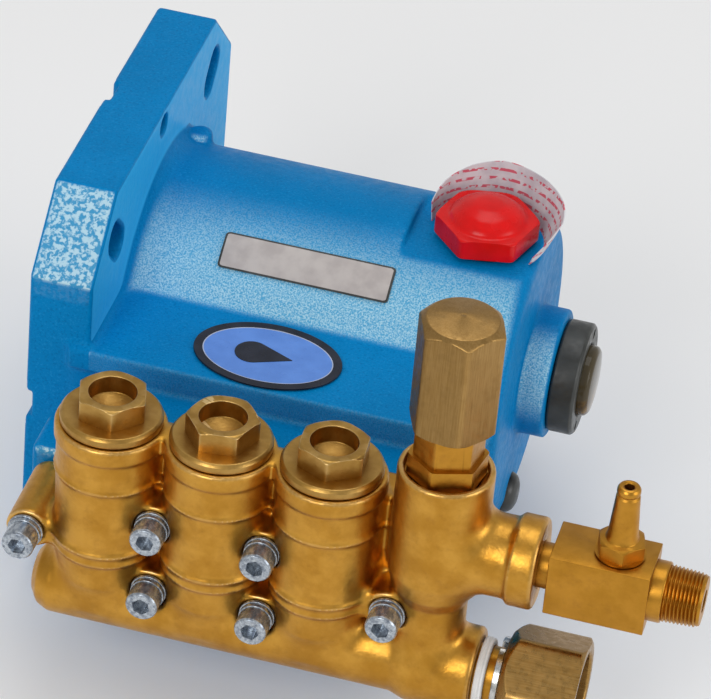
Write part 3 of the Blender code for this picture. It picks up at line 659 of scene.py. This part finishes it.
def band(name, sections, at=(0, 0, 0), axis="Z"):
    """A strip round an axis, closed at both ends, from (degrees, [(radius, height), ...]) sections."""
    count = len(sections[0][1])
    points = []
    faces = []
    for angle, section in sections:
        a = radians(angle)
        points += [(r * cos(a), r * sin(a), z) for r, z in section]
    for i in range(len(sections) - 1):
        for j in range(count):
            k = (j + 1) % count
            faces.append((i * count + j, i * count + k, (i + 1) * count + k, (i + 1) * count + j))
    last = (len(sections) - 1) * count
    faces.append(tuple(range(count)))
    faces.append(tuple(last + j for j in reversed(range(count))))
    return new_piece(name, points, faces, at, axis)


def slab(name, outline, low, high, at=(0, 0, 0), axis="Z", bevel=0.4, hole=None):
    """A flat outline drawn out between two heights, with bevelled edges.

    hole is a second outline of as many points.
    """
    count = len(outline)
    points = [(x, y, high) for x, y in outline] + [(x, y, low) for x, y in outline]
    faces = [(i, count + i, count + (i + 1) % count, (i + 1) % count) for i in range(count)]
    if hole:
        points += [(x, y, high) for x, y in hole] + [(x, y, low) for x, y in hole]
        for i in range(count):
            j = (i + 1) % count
            faces.append((i, j, 2 * count + j, 2 * count + i))
            faces.append((count + j, count + i, 3 * count + i, 3 * count + j))
            faces.append((2 * count + j, 3 * count + j, 3 * count + i, 2 * count + i))
    else:
        faces += [tuple(range(count)), tuple(reversed(range(count, 2 * count)))]
    obj = new_piece(name, points, faces, at, axis)
    if bevel:
        rounded = obj.modifiers.new("Bevel", "BEVEL")
        rounded.width = bevel * MM
        rounded.segments = 3
        rounded.limit_method = "ANGLE"
        rounded.angle_limit = radians(30)
        bake_modifiers(obj)
    return obj


def rounded_outline(half_x, half_y, radius, facets=6):
    """A rectangle with round corners, counterclockwise."""
    points = []
    for sx, sy, start in ((1, 1, 0), (-1, 1, 90), (-1, -1, 180), (1, -1, 270)):
        for i in range(facets + 1):
            a = radians(start + 90 * i / facets)
            middle = (sx * (half_x - radius), sy * (half_y - radius))
            points.append((middle[0] + radius * cos(a), middle[1] + radius * sin(a)))
    return points


def ellipse(half_x, half_y, facets=96):
    turns = [2 * pi * i / facets for i in range(facets)]
    return [(half_x * cos(a), half_y * sin(a)) for a in turns]


def rotated(points, degrees):
    c, s = cos(radians(degrees)), sin(radians(degrees))
    return [(u * c - v * s, u * s + v * c) for u, v in points]


def bar(radius, high, low, at=(0, 0, 0), axis="Z", steps=72, soft=0):
    """A plain round bar, to cut or add."""
    return lathe("bar", [(0, high), (radius, high), (radius, low), (0, low)], at, axis, steps, soft)


def threaded(name, low, high, radii, bore, pitch, depth, at, axis, steps=60):
    """A pipe with a cut thread on its outside. radii is its radius over the crests at low and at high."""
    rows = int((high - low) / pitch * 8)
    points = []
    for row in range(rows + 1):
        share = row / rows
        crest = radii[0] + (radii[1] - radii[0]) * share
        ease = min(1.0, share * 10, (1 - share) * 7)
        for i in range(steps):
            wave = (share * (high - low) / pitch - i / steps) % 1.0
            groove = 1.0 - abs(2 * wave - 1) * 1.12
            cut = depth * min(1.0, max(0.0, groove)) if ease >= 1 else depth * max(1.0 - ease, groove)
            angle = 2 * pi * i / steps
            radius = crest - cut
            points.append((radius * cos(angle), radius * sin(angle), low + share * (high - low)))
    first_bore = len(points)
    for height in (high, low):
        points += [(x, y, height) for x, y in ellipse(bore, bore, steps)]
    faces = []
    for i in range(steps):
        j = (i + 1) % steps
        for row in range(rows):
            faces.append((row * steps + i, row * steps + j, (row + 1) * steps + j, (row + 1) * steps + i))
        top = rows * steps
        faces.append((top + i, top + j, first_bore + j, first_bore + i))
        faces.append((first_bore + i, first_bore + j, first_bore + steps + j, first_bore + steps + i))
        faces.append((first_bore + steps + i, first_bore + steps + j, j, i))
    return new_piece(name, points, faces, at, axis, 50.0)


def combine(obj, other, operation):
    boolean = obj.modifiers.new(operation, "BOOLEAN")
    boolean.operation = operation
    boolean.solver = "EXACT"
    boolean.object = other
    bake_modifiers(obj)
    bpy.data.objects.remove(other)
    made = bmesh.new()
    made.from_mesh(obj.data)
    shade(obj.data, made)


def place(obj, material, body, slot, *nodes):
    """Gives a finished piece its material, the CAD nodes it stands for and its body; slot is not used."""
    obj.data.materials.clear()
    obj.data.materials.append(material)
    if nodes:
        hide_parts(*nodes)
    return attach(obj, body)


# ---- crankcase
FLANGE = [
    (-75.5, -45), (-53.5, -67), (53.5, -67), (75.5, -45), (75.5, 49), (53.5, 71), (-53.5, 71), (-75.5, 49),
]
REAR = [(8, -44), (46, -44), (52, -38), (52, 4), (46, 12), (36, 18), (8, 30)]
ROOT = [(-19, -35.5), (-19, 22), (-75, 22), (-75, -20.5), (-38, -35.5)]


def slot_outline(angle, length=17.0, width=10.5, facets=8):
    """A radial flange slot with round ends, as (y, z) points."""
    half = (length - width) / 2
    points = []
    for end, start in ((half, -90.0), (-half, 90.0)):
        for i in range(facets + 1):
            a = radians(start + 180.0 * i / facets)
            points.append((SLOT_RADIUS + end + width / 2 * cos(a), width / 2 * sin(a)))
    return rotated(points, angle)


def make_crankcase():
    case = Field((-3.4, -111.0, -71.0), (158.5, 79.5, 75.0), CAST_STEP)
    axis = (0, 0, 0)
    case.prism(FLANGE, 0.0, FLANGE_THICKNESS, soft=0.7)
    case.rod(0, axis, BARREL_RADIUS, 8.0, CASE_END, soft=6.0, fillet=7.0)
    case.rod(0, axis, 21.0, 120.0, NECK_END, soft=0.9, fillet=1.6)
    case.block((13.8, -78.0, 19.4), (136.0, -20.0, LEDGE_Z), soft=0.9, fillet=2.5)
    case.prism(ROOT, 14.5, 134.0, soft=2.0, fillet=3.0)
    case.block((25.0, -106.7, -17.5), (128.6, -50.0, 17.5), soft=1.4, fillet=4.0)
    case.block((12.0, -106.1, -9.0), (141.0, -88.0, 9.0), soft=2.0, fillet=4.0)
    case.prism(REAR, 15.2, 133.0, soft=2.0, fillet=4.0)
    case.rod(2, (25.0, 24.0, 0), 4.0, 30.0, 47.0, soft=1.6, fillet=1.6)
    case.rod(0, (0, *DRAIN), 9.0, 125.0, CASE_END - 1.5, soft=1.2, fillet=3.0)
    case.rod(0, axis, 40.0, 24.5, 119.0, soft=1.0, away=True)
    case.bore(0, axis, 31.3, -4.0, 26.0, fillet=0.8)
    case.bore(0, axis, 26.3, 110.0, 133.7)
    case.bore(0, axis, 12.6, 130.0, 160.0, fillet=0.5)
    case.block((34, 15, -34), (118, 60, -2), soft=3.0, away=True)
    for x in CYLINDERS:
        case.bore(1, (x, 0, 0), 14.4, -85.0, -25.0)
        case.bore(1, (x, 0, 0), 6.8, -112.0, -80.0)
    for x, z in SCREWS:
        case.bore(1, (x, 0, z), SCREW_HOLE, -112.0, -93.5)
    case.block((102.6, -34, FLAT_Z), (160, 34, 72), soft=1.0, fillet=0.6, away=True)
    case.bore(2, (FILLER_X, 0, 0), 10.7, 34.0, 60.0, fillet=0.6)
    case.bore(0, (0, *DRAIN), 5.3, 121.0, 150.0, fillet=0.5)
    for angle in (45, 135, 225, 315):
        case.prism(slot_outline(angle), -4.0, 30.0, soft=0.2, fillet=1.2, away=True)
    case.block((-4, -90, -4.8), (2.0, 90, 4.8), soft=0.4, fillet=0.6, away=True)
    case.block((-4, -4.8, -90), (2.0, 4.8, 90), soft=0.4, fillet=0.6, away=True)
    case.bore(0, (0, -4.0, 65.0), 3.4, 10.0, 30.0, fillet=0.5)
    for x, z in REAR_HOLES:
        case.bore(1, (x, 0, z), 2.3, 42.5, 56.0)
    return case.surface("crankcase_casting", 0.35)


def make_rear_cover():
    cover = Field((23.0, BACK_Y - 2.5, -43.0), (129.0, BACK_Y + 11, 7.0), 0.55)
    cover.block((26, BACK_Y + 0.3, -40), (125.5, BACK_Y + 5.3, 3.5), soft=1.2)
    cover.block((44, BACK_Y + 3, -28), (108, BACK_Y + 8.5, -10), soft=1.6, fillet=2.4)
    for x, z in REAR_HOLES:
        cover.bore(1, (x, 0, z), 2.5, 40.0, 65.0, fillet=0.3)
    return cover.surface("rear_cover_casting", 0.4)


place(make_crankcase(), PAINT, "case", "case_paint", "crankcase")
place(make_rear_cover(), PAINT, "case", "case_paint", "rear_cover")

base = BACK_Y + 5.6
rear_profile = [
    (0, base + 3), (3.4, base + 3), (4.3, base + 1.9), (4.3, base), (2.0, base), (2.0, base - 14),
    (0, base - 14),
]
for number, (x, z) in enumerate(REAR_HOLES, 1):
    at = (x, 0, z)
    screw = lathe(f"rear_screw_head_{number}", rear_profile, at, "Y", steps=48)
    for turn in (20, 110):
        blade = rotated([(2.6, 0.45), (-2.6, 0.45), (-2.6, -0.45), (2.6, -0.45)], turn)
        slot = slab("cross_slot", blade, base + 1.2, base + 4, at, "Y", bevel=0)
        combine(screw, slot, "DIFFERENCE")
    place(screw, ZINC, "case", "zinc_plate", f"rear_screw_{number}")

drain_profile = [
    (0, 4.6), (3.4, 4.4), (5.6, 3.4), (6.7, 1.8), (6.9, 0), (5.0, 0), (5.0, -11.0), (0, -11.0),
]
drain = lathe("drain_plug_domed", drain_profile, (CASE_END - 1.2, *DRAIN), "X", soft=0.8)
place(drain, BLACK, "case", "bezel_black", "drain_plug")

seal_profile = [(31.0, 7.9), (31.0, 1.0), (18.0, 1.0), (15.4, 3.2), (15.4, 4.6), (18.0, 5.6), (18.0, 7.9)]
seal = lathe("shaft_lip_seal", seal_profile, axis="X", steps=96, ring=True, soft=0.5)
place(seal, RUBBER, "case", "seal_rubber", "shaft_seal")

shaft_profile = [
    (0, 132.8), (11.6, 132.8), (12.3, 132.0), (17.2, 132.0), (17.2, 118.6), (15.0, 118.6), (15.0, 24.2),
    (21.0, 24.2), (21.0, 8.2), (15.0, 8.2), (15.0, 4.0), (0, 4.0),
]
shaft = lathe("hollow_crankshaft", shaft_profile, axis="X", steps=96)
for x, phase in zip(CYLINDERS, (90.0, 210.0, 330.0)):
    middle = (0, -4.1 * cos(radians(phase)), 4.1 * sin(radians(phase)))
    combine(shaft, bar(20.0, x + 7.4, x - 7.4, middle, "X", steps=96, soft=0.3), "UNION")
combine(shaft, bar(9.525, 62.0, 2.0, axis="X", steps=96), "DIFFERENCE")
keyway = slab("keyway", [(-12, -2.4), (-4, -2.4), (-4, 2.4), (-12, 2.4)], 2.0, 62.0, axis="X", bevel=0)
combine(shaft, keyway, "DIFFERENCE")
place(shaft, STEEL, "crank", "machined_steel", "crankshaft")


# ---- manifold
CHAMBER = [
    (0, -22.0), (11.0, -22.0), (14.4, -12.0), (14.9, -3.8), (16.1, -2.2), (15.6, -1.0),
    (15.7, 0.2), (16.6, 1.6), (15.6, 3.2), (15.9, 24.2),
    (16.8, 25.6), (16.1, 26.8), (16.1, 35.4), (16.9, 36.8), (16.9, 41.3), (16.3, 42.0), (0, 42.0),
]
GALLERY_TUBE = [
    (0, 22.0), (6.5, 22.0), (10.2, 24.4), (11.8, 28.0), (11.8, 136.0), (13.5, 141.0), (13.5, 160.0),
    (12.6, 161.0), (0, 161.0),
]
COLUMN = [
    (0, -21.0), (10.6, -21.0), (10.6, 5.0), (13.2, 10.0), (14.5, 16.0), (14.5, 51.8), (13.8, 52.5), (0, 52.5),
]
NECK = [
    (0, 144.8), (12.5, 144.8), (12.5, 167.0), (14.0, 168.4), (14.0, 175.2), (13.2, 176.0), (0, 176.0),
]


def make_manifold():
    body = Field((12.5, -145.5, -38.0), (180.5, -104.0, 56.5), FORGED_STEP, 0.2)
    body.block((27.0, -116.0, -24.0), (128.0, -107.0, 30.0), soft=1.0)
    for x in CYLINDERS:
        body.turned(2, (x, CHAMBER_Y, 0), CHAMBER, fillet=3.0)
    body.block((42.8, -124.0, -20.0), (144.8, -110.0, 33.0), soft=2.0, fillet=5.0)
    body.turned(0, GALLERY, GALLERY_TUBE, fillet=4.5)
    body.turned(2, UNLOADER, COLUMN, fillet=4.0)
    body.turned(0, OUTLET, NECK, fillet=5.0)
    for x, z in SCREWS:
        body.rod(1, (x, 0, z), 6.6, -SCREW_SEAT, -108.0, soft=0.8, fillet=2.5)
    body.block((20.3, -134.0, -4.6), (42.8, -109.0, 4.6), soft=2.0, fillet=3.5)
    body.block((110.8, -134.0, -5.0), (144.0, -109.0, 5.0), soft=2.0, fillet=3.5)
    for x in CYLINDERS:
        at = (x, CHAMBER_Y, 0)
        body.bore(2, at, 12.4, 14, 58, fillet=0.4)
        body.bore(2, at, 9.0, -12, 16)
        body.bore(2, at, 4.5, -22, -10)
        body.bore(1, (x, 0, 0), 10.3, -115, -100)
        body.bore(1, (x, 0, 0), 6.5, -126.8, -110)
    for x, z in SCREWS:
        body.bore(1, (x, 0, z), SCREW_HOLE, -146, -100, fillet=0.3)
        body.bore(1, (x, 0, z), 6.0, -150, -SCREW_SEAT, fillet=0.3)
    body.bore(0, INLET, 9.5, 149, 166, fillet=0.5)
    body.bore(0, INLET, 4.8, 36, 151)
    body.bore(0, (0, -120.5, 27.0), 3.6, 42.8, 140.0)
    body.bore(2, UNLOADER, 12.6, 50, 60, fillet=0.4)
    body.bore(2, UNLOADER, 10.6, 8, 52)
    body.bore(2, UNLOADER, 4.6, -21, 10)
    body.bore(0, OUTLET, 7.2, 150, 184, fillet=0.5)
    return body.surface("manifold_forging", 0.45)


place(make_manifold(), FORGED, "case", "forged_brass", "manifold")

PLUG = [
    (0, 44.0), (7.25, 46.5), (7.25, 52.3), (10.0, 52.3), (12.4, 51.0), (12.4, 45.4), (14.6, 45.4),
    (15.5, 44.4), (15.5, 42.3), (12.1, 42.3), (12.1, 31.0), (0, 31.0),
]
PLUG_TURNS = (46.0, 8.0, 34.0)
for number, (x, turn) in enumerate(zip(CYLINDERS, PLUG_TURNS), 1):
    plug = lathe(
        f"valve_plug_hex_{number}", PLUG, (x, CHAMBER_Y, 0), steps=96, flats=(19.6, 45.35, 52.4), turn=turn,
    )
    place(plug, PLUG_BRASS, "case", "forged_brass", f"valve_plug_{number}")

# The screw's head, its spring washer, its flat washer and its shank
SOCKET_SCREW = [
    (0, 5.0), (2.95, 5.0), (2.95, 8.8), (4.5, 8.8), (5.0, 8.1), (5.0, 2.9), (4.6, 2.75), (5.3, 2.6),
    (5.3, 1.3), (4.7, 1.15), (5.6, 1.0), (5.6, 0), (2.95, 0), (2.95, -40.1), (0, -40.1),
]
for number, (x, z) in enumerate(SCREWS, 1):
    screw = lathe(
        f"socket_screw_{number}", SOCKET_SCREW, (x, -SCREW_SEAT - 0.3, z), "-Y", soft=0.2,
        flats=(5.0, 4.9, 8.9), turn=13.0 * number,
    )
    place(screw, ZINC, "case", "zinc_plate", f"manifold_screw_{number}")

# ---- unloader
lower_hex = [
    (0, 57.6), (12.0, 57.6), (12.5, 57.2), (12.5, 50.8), (12.0, 50.3), (10.2, 50.3), (10.2, 42.0), (0, 42.0),
]
upper_hex = [
    (0, 76.0), (8.0, 76.0), (8.6, 75.4), (8.6, 68.0), (10.4, 68.0), (11.0, 67.4), (11.0, 57.0), (0, 57.0),
]
retainer = lathe("retainer_hex", lower_hex, UNLOADER, steps=96, flats=(21.0, 50.2, 57.7), turn=20)
upper = lathe("upper", upper_hex, UNLOADER, steps=96, flats=(18.5, 56.9, 68.1), turn=20)
combine(retainer, upper, "UNION")
combine(retainer, bar(4.4, 80, 40, UNLOADER), "DIFFERENCE")
place(retainer, TURNED_BRASS, "case", "machined_brass", "unloader_retainer")

cap_profile = [
    (0, 106.7), (0.9, 106.9), (10.6, 105.4), (14.4, 102.0), (14.4, 69.8), (12.2, 68.4), (8.9, 68.4),
    (8.9, 97.4), (0, 97.4),
]
cap = lathe("pressure_cap_hex", cap_profile, UNLOADER, steps=120, flats=(23.6, 68.3, 106.0), turn=51.5)
place(cap, CAP_BRASS, "pressure_knob", "machined_brass", "pressure_cap")

# ---- outlet fitting
square = rounded_outline(10.4, 9.4, 0.5, 3)
injector = slab("injector_block", square, 179.4, 209.5, OUTLET, "X", bevel=0.35)
neck = [(9.0, 213.6), (9.2, 213.2), (9.2, 208.0), (3.6, 208.0), (3.6, 213.6)]
combine(injector, lathe("neck", neck, OUTLET, "X", ring=True, soft=0.1), "UNION")
male_thread = threaded("outlet_thread", 213.2, 225.0, (8.75, 8.1), 3.6, 1.15, 0.7, OUTLET, "X", 72)
combine(injector, male_thread, "UNION")
inner = [(6.9, 181.4), (6.9, 166.0), (3.6, 166.0), (3.6, 181.4)]
combine(injector, lathe("inner_thread", inner, OUTLET, "X", ring=True, soft=0.2), "UNION")
combine(injector, bar(3.6, 230, 160, OUTLET, "X"), "DIFFERENCE")
port = [(0, 42.0), (3.3, 42.0), (3.3, 30.0), (1.6, 30.0), (1.6, 24.5), (0, 24.5)]
combine(injector, lathe("port", port, (BARB_X, CHAMBER_Y, 0), soft=0), "DIFFERENCE")
place(injector, TURNED_BRASS, "case", "machined_brass", "injector_body")

barb_foot = OUTLET_Z + 10.7
barb_profile = [
    (2.2, 60.0), (3.0, 59.8), (3.5, 59.0), (3.55, 57.8), (3.1, 57.3), (3.1, 56.9), (3.6, 56.4), (3.9, 52.0),
    (4.5, 43.0), (5.0, 41.2), (6.4, 40.8), (7.9, 40.0), (7.9, barb_foot + 0.9), (7.5, barb_foot + 0.7),
    (7.5, barb_foot), (3.0, barb_foot), (3.0, 31.0), (1.5, 31.0), (1.5, 59.6),
]
barb = lathe(
    "barbed_nipple", barb_profile, (BARB_X, CHAMBER_Y, 0), steps=72, soft=0.2, ring=True,
    flats=(13.2, barb_foot + 0.8, 41.4), turn=45,
)
place(barb, TURNED_BRASS, "case", "machined_brass", "hose_barb")

# ---- inlet fitting
stem_profile = [
    (12.4, 176.0), (12.4, 173.2), (9.0, 173.0), (9.0, 161.0), (9.2, 160.6), (9.2, 150.0), (6.0, 150.0),
    (6.0, 176.0),
]
stem = lathe("inlet_stem_turned", stem_profile, INLET, "X", ring=True)
place(stem, TURNED_BRASS, "case", "machined_brass", "inlet_stem")
tape_profile = [
    (10.7, 164.6), (11.2, 164.2), (11.0, 163.7), (11.4, 163.2), (11.2, 162.7), (11.4, 162.2), (11.2, 161.6),
    (9.3, 161.6), (9.3, 164.6),
]
tape = lathe("thread_tape_wraps", tape_profile, INLET, "X", ring=True, soft=0.12)
place(tape, TAPE, "case", "thread_tape", "thread_tape")
ring_section = [
    (12.6, 169.0), (12.4, 169.2), (9.6, 169.2), (9.4, 169.0), (9.4, 167.4), (9.6, 167.2), (12.4, 167.2),
    (12.6, 167.4),
]
snap = band("snap_ring_open", [(188 + 344 * i / 72, ring_section) for i in range(73)], INLET, "X")
place(snap, STAINLESS, "case", "stainless", "snap_ring")

nut_profile = [
    (16.4, 193.0), (18.6, 191.4), (18.6, 173.4), (14.6, 169.6), (9.4, 169.6), (9.4, 172.9), (12.7, 172.9),
    (12.7, 174.6), (13.2, 175.0), (13.2, 192.4), (13.8, 193.0),
]
nut = lathe(
    "swivel_nut_hex", nut_profile, INLET, "X", steps=120, ring=True, flats=(31.75, 169.5, 193.1), turn=8,
)
place(nut, NUT_BRASS, "hose_nut", "forged_brass", "swivel_nut")

# ---- filler cap, tag, gauge
filler = (FILLER_X, 0, 0)
cap_profile = [
    (0, 59.6), (4.5, 59.2), (8.6, 57.8), (11.4, 55.6), (12.6, 53.9), (15.6, 53.9), (17.0, 52.9), (17.0, 47.2),
    (10.0, 47.2), (10.0, 35.0), (0, 35.0),
]
red_cap = lathe("oil_cap_domed", cap_profile, filler, steps=120, soft=0.8, flats=(29.0, 47.1, 54.3), turn=13)
place(red_cap, RED, "filler_cap", "red_plastic", "oil_cap")
seal_section = [(13.2, 46.9), (13.2, 45.7), (10.4, 45.7), (10.4, 46.9)]
cap_seal = lathe("cap_o_ring", seal_section, filler, soft=0.5, ring=True)
place(cap_seal, RUBBER, "cap_ring", "seal_rubber", "oil_cap_seal")

# Angle round the cap, radius of the tag's upper edge and its height
TAG_EDGE = [
    (-30, 20.0, 49.0), (-15, 22.2, 54.0), (0, 23.8, 57.5), (22, 23.2, 59.4), (45, 22.4, 60.8),
    (90, 20.8, 61.8), (120, 19.6, 60.8), (150, 19.1, 57.6), (171, 19.0, 53.0),
]
TAG_FOOT = 18.6
HALF_PAPER = 0.16
turns, radii, heights = zip(*TAG_EDGE)
tag_sections = []
for angle in range(-30, 172, 3):
    top = float(np.interp(angle, turns, heights))
    wide = float(np.interp(angle, turns, radii))
    wave = 0.25 * sin(radians(angle * 5.0))
    outer = []
    inner = []
    for i in range(7):
        share = i / 6
        z = FLAT_Z + 0.5 + (top - FLAT_Z - 0.5) * share
        lean = TAG_FOOT + (wide - TAG_FOOT) * share ** 0.8 + wave * share
        outer.append((lean + HALF_PAPER, z))
        inner.append((lean - HALF_PAPER, z))
    tag_sections.append((angle, outer + inner[::-1]))
tag = band("blank_tag", tag_sections, filler)
place(tag, PAPER, "case", "tag_paper", "filler_tag")

bezel_profile = [
    (17.4, 163.2), (18.3, 162.3), (18.3, 155.4), (17.9, 154.8), (12.2, 154.8), (12.2, 146.0), (9.0, 146.0),
    (9.0, 157.6), (11.9, 158.6), (11.9, 162.6), (12.4, 163.2),
]
bezel = lathe("gauge_bezel_ring", bezel_profile, axis="X", steps=96, ring=True)
for angle in (60.0, 240.0):
    spot = (0, 15.0 * cos(radians(angle)), 15.0 * sin(radians(angle)))
    combine(bezel, bar(1.6, 166, 159.4, spot, "X", steps=32), "DIFFERENCE")
place(bezel, BLACK, "case", "bezel_black", "gauge_bezel")
glass_profile = [
    (0, 167.0), (7.0, 166.8), (10.2, 166.4), (11.3, 165.4), (11.5, 164.4), (11.5, 159.0), (8.6, 157.6),
    (8.6, 154.0), (0, 154.0),
]
glass = lathe("gauge_sight_glass", glass_profile, axis="X", steps=96, soft=0.8)
place(glass, GLASS, "case", "gauge_glass", "gauge_glass")

# ---- plate and badge
# The angle of the plate's middle, from -Z towards +Y
PLATE_ANGLE = 215.0


def curved_plate(name, half_angle, low, high, inner, outer, corner):
    """A plate lying round the barrel, with its short ends' corners rounded."""
    sections = []
    for i in range(49):
        share = i / 48
        angle = PLATE_ANGLE + half_angle * (2 * share - 1)
        depth = min(share, 1 - share) * 2 * half_angle * pi / 180 * outer
        inset = corner - sqrt(corner ** 2 - (corner - depth) ** 2) if depth < corner else 0.0
        top = outer - 0.12
        start, end = low + inset, high - inset
        section = [
            (outer, end - 0.15), (outer, start + 0.15), (top, start),
            (inner, start), (inner, end), (top, end),
        ]
        sections.append((angle, section))
    return band(name, sections, axis="X")


plate = curved_plate("blank_nameplate", 7.0, 47.8, 103.2, 49.0, 49.55, 1.2)
place(plate, BLACK, "case", "plate_foil", "nameplate")
foil = curved_plate("nameplate_field", 6.35, 48.4, 102.6, 49.45, 49.62, 0.8)
place(foil, PLATE_FOIL, "case", "plate_foil")

BADGE_AT = (73.1, -60.9, 0)
BADGE_Z = LEDGE_Z + 0.3
RIM, LINE, FIELD = ellipse(23.5, 16.4), ellipse(20.7, 13.7), ellipse(20.35, 13.35)
rim = slab("badge_rim", RIM, BADGE_Z, BADGE_Z + 0.7, BADGE_AT, bevel=0.12, hole=LINE)
place(rim, BADGE_DARK, "case", "badge_blue", "badge")
line = slab("badge_line", LINE, BADGE_Z, BADGE_Z + 0.55, BADGE_AT, bevel=0, hole=FIELD)
place(line, BADGE_PALE, "case", "badge_blue")
field = slab("badge_field", FIELD, BADGE_Z, BADGE_Z + 0.5, BADGE_AT, bevel=0)
place(field, BADGE_FIELD, "case", "badge_blue")


def drop_outline(radius, length, facets=40):
    """A plain water drop lying along X, with its point at the far end."""
    reach = acos(radius / length)
    points = []
    for i in range(facets + 1):
        a = reach + (2 * pi - 2 * reach) * i / facets
        points.append((radius * cos(a), radius * sin(a)))
    return points + [(length, 0.0)]


DROP_AT = (68.0, -60.9, 0)
drop = slab("badge_drop", drop_outline(5.4, 13.0), BADGE_Z + 0.3, BADGE_Z + 0.75, DROP_AT, bevel=0.1)
place(drop, BADGE_DARK, "case", "badge_blue")


# ---- finishes of the CAD's own pieces
CAD_FINISHES = {
    "bearing_engine": STEEL, "bearing_far": STEEL, "spring_seat": STEEL, "unloader_spring": STEEL,
    "unloader_stem": STAINLESS,
}
for number in (1, 2, 3):
    CAD_FINISHES[f"wrist_pin_{number}"] = STEEL
    CAD_FINISHES[f"crosshead_{number}"] = STEEL
    CAD_FINISHES[f"con_rod_{number}"] = ALLOY
    CAD_FINISHES[f"plunger_{number}"] = CERAMIC
    CAD_FINISHES[f"seal_pack_{number}"] = RUBBER
    CAD_FINISHES[f"discharge_valve_{number}"] = STAINLESS
    CAD_FINISHES[f"inlet_valve_{number}"] = STAINLESS
for node, finish in CAD_FINISHES.items():
    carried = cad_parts[node].data
    carried.materials.clear()
    carried.materials.append(finish)


# ---- floor, light, camera
def make_floor():
    """A wide pale floor under the flange's lower edge."""
    made = bmesh.new()
    bmesh.ops.create_grid(made, x_segments=8, y_segments=8, size=9.0)
    mesh = bpy.data.meshes.new("studio_floor")
    made.to_mesh(mesh)
    made.free()
    floor = bpy.data.objects.new("studio_floor", mesh)
    floor.location = (0.1, 0.0, CAD_BOX[0].z - 0.0004)
    bpy.context.scene.collection.objects.link(floor)
    m = Nodes("pale_floor")
    tone = m.mix(m.noise(900, 2.0), (0.93, 0.93, 0.93), (0.95, 0.95, 0.95))
    floor.data.materials.append(m.set(Base_Color=tone, Roughness=0.9, Specular_IOR_Level=0.1))


def softbox(name, direction, distance, size, power):
    """A square area light that faces the middle of the pump."""
    light = bpy.data.lights.new(name, "AREA")
    light.shape = "SQUARE"
    light.size = size
    light.energy = power
    obj = bpy.data.objects.new(name, light)
    middle = (CAD_BOX[0] + CAD_BOX[1]) / 2
    away = Vector(direction).normalized()
    obj.location = middle + away * distance
    obj.rotation_euler = away.to_track_quat("Z", "Y").to_euler()
    bpy.context.scene.collection.objects.link(obj)


make_floor()
softbox("key", (-0.2, -0.82, 0.53), 1.4, 0.6, 5.6)
softbox("right_fill", (0.95, -0.25, 0.35), 1.3, 0.7, 4.0)
softbox("top", (0.0, 0.2, 1.0), 1.5, 0.9, 4.4)

world = bpy.data.worlds.new("studio")
world.use_nodes = True
world.node_tree.nodes["Background"].inputs["Color"].default_value = (1.0, 1.0, 1.0, 1.0)
world.node_tree.nodes["Background"].inputs["Strength"].default_value = 0.55
bpy.context.scene.world = world
bpy.context.scene.view_settings.view_transform = "Standard"

# The camera looks from the front right and above, turned a little about its own axis
AZIMUTH, ELEVATION, ROLL = radians(11.95), radians(36.1), radians(5.37)
LENS, SENSOR = 224.2, 36.0
DISTANCE = 1.444
AIM = (0.0837, -0.0251)
back = Vector((sin(AZIMUTH) * cos(ELEVATION), -cos(AZIMUTH) * cos(ELEVATION), sin(ELEVATION)))
level = Vector((cos(AZIMUTH), sin(AZIMUTH), 0.0))
upright = back.cross(level)
right = level * cos(ROLL) + upright * sin(ROLL)
up = back.cross(right)
camera = bpy.data.cameras.new("photo_angle")
camera.lens = LENS
camera.sensor_width = SENSOR
camera.clip_start = 0.05
camera.clip_end = 40.0
viewer = bpy.data.objects.new("photo_angle", camera)
turned_to = Matrix((right, up, back)).transposed().to_4x4()
viewer.matrix_world = Matrix.Translation(right * AIM[0] + up * AIM[1] + back * DISTANCE) @ turned_to
bpy.context.scene.collection.objects.link(viewer)
bpy.context.scene.camera = viewer
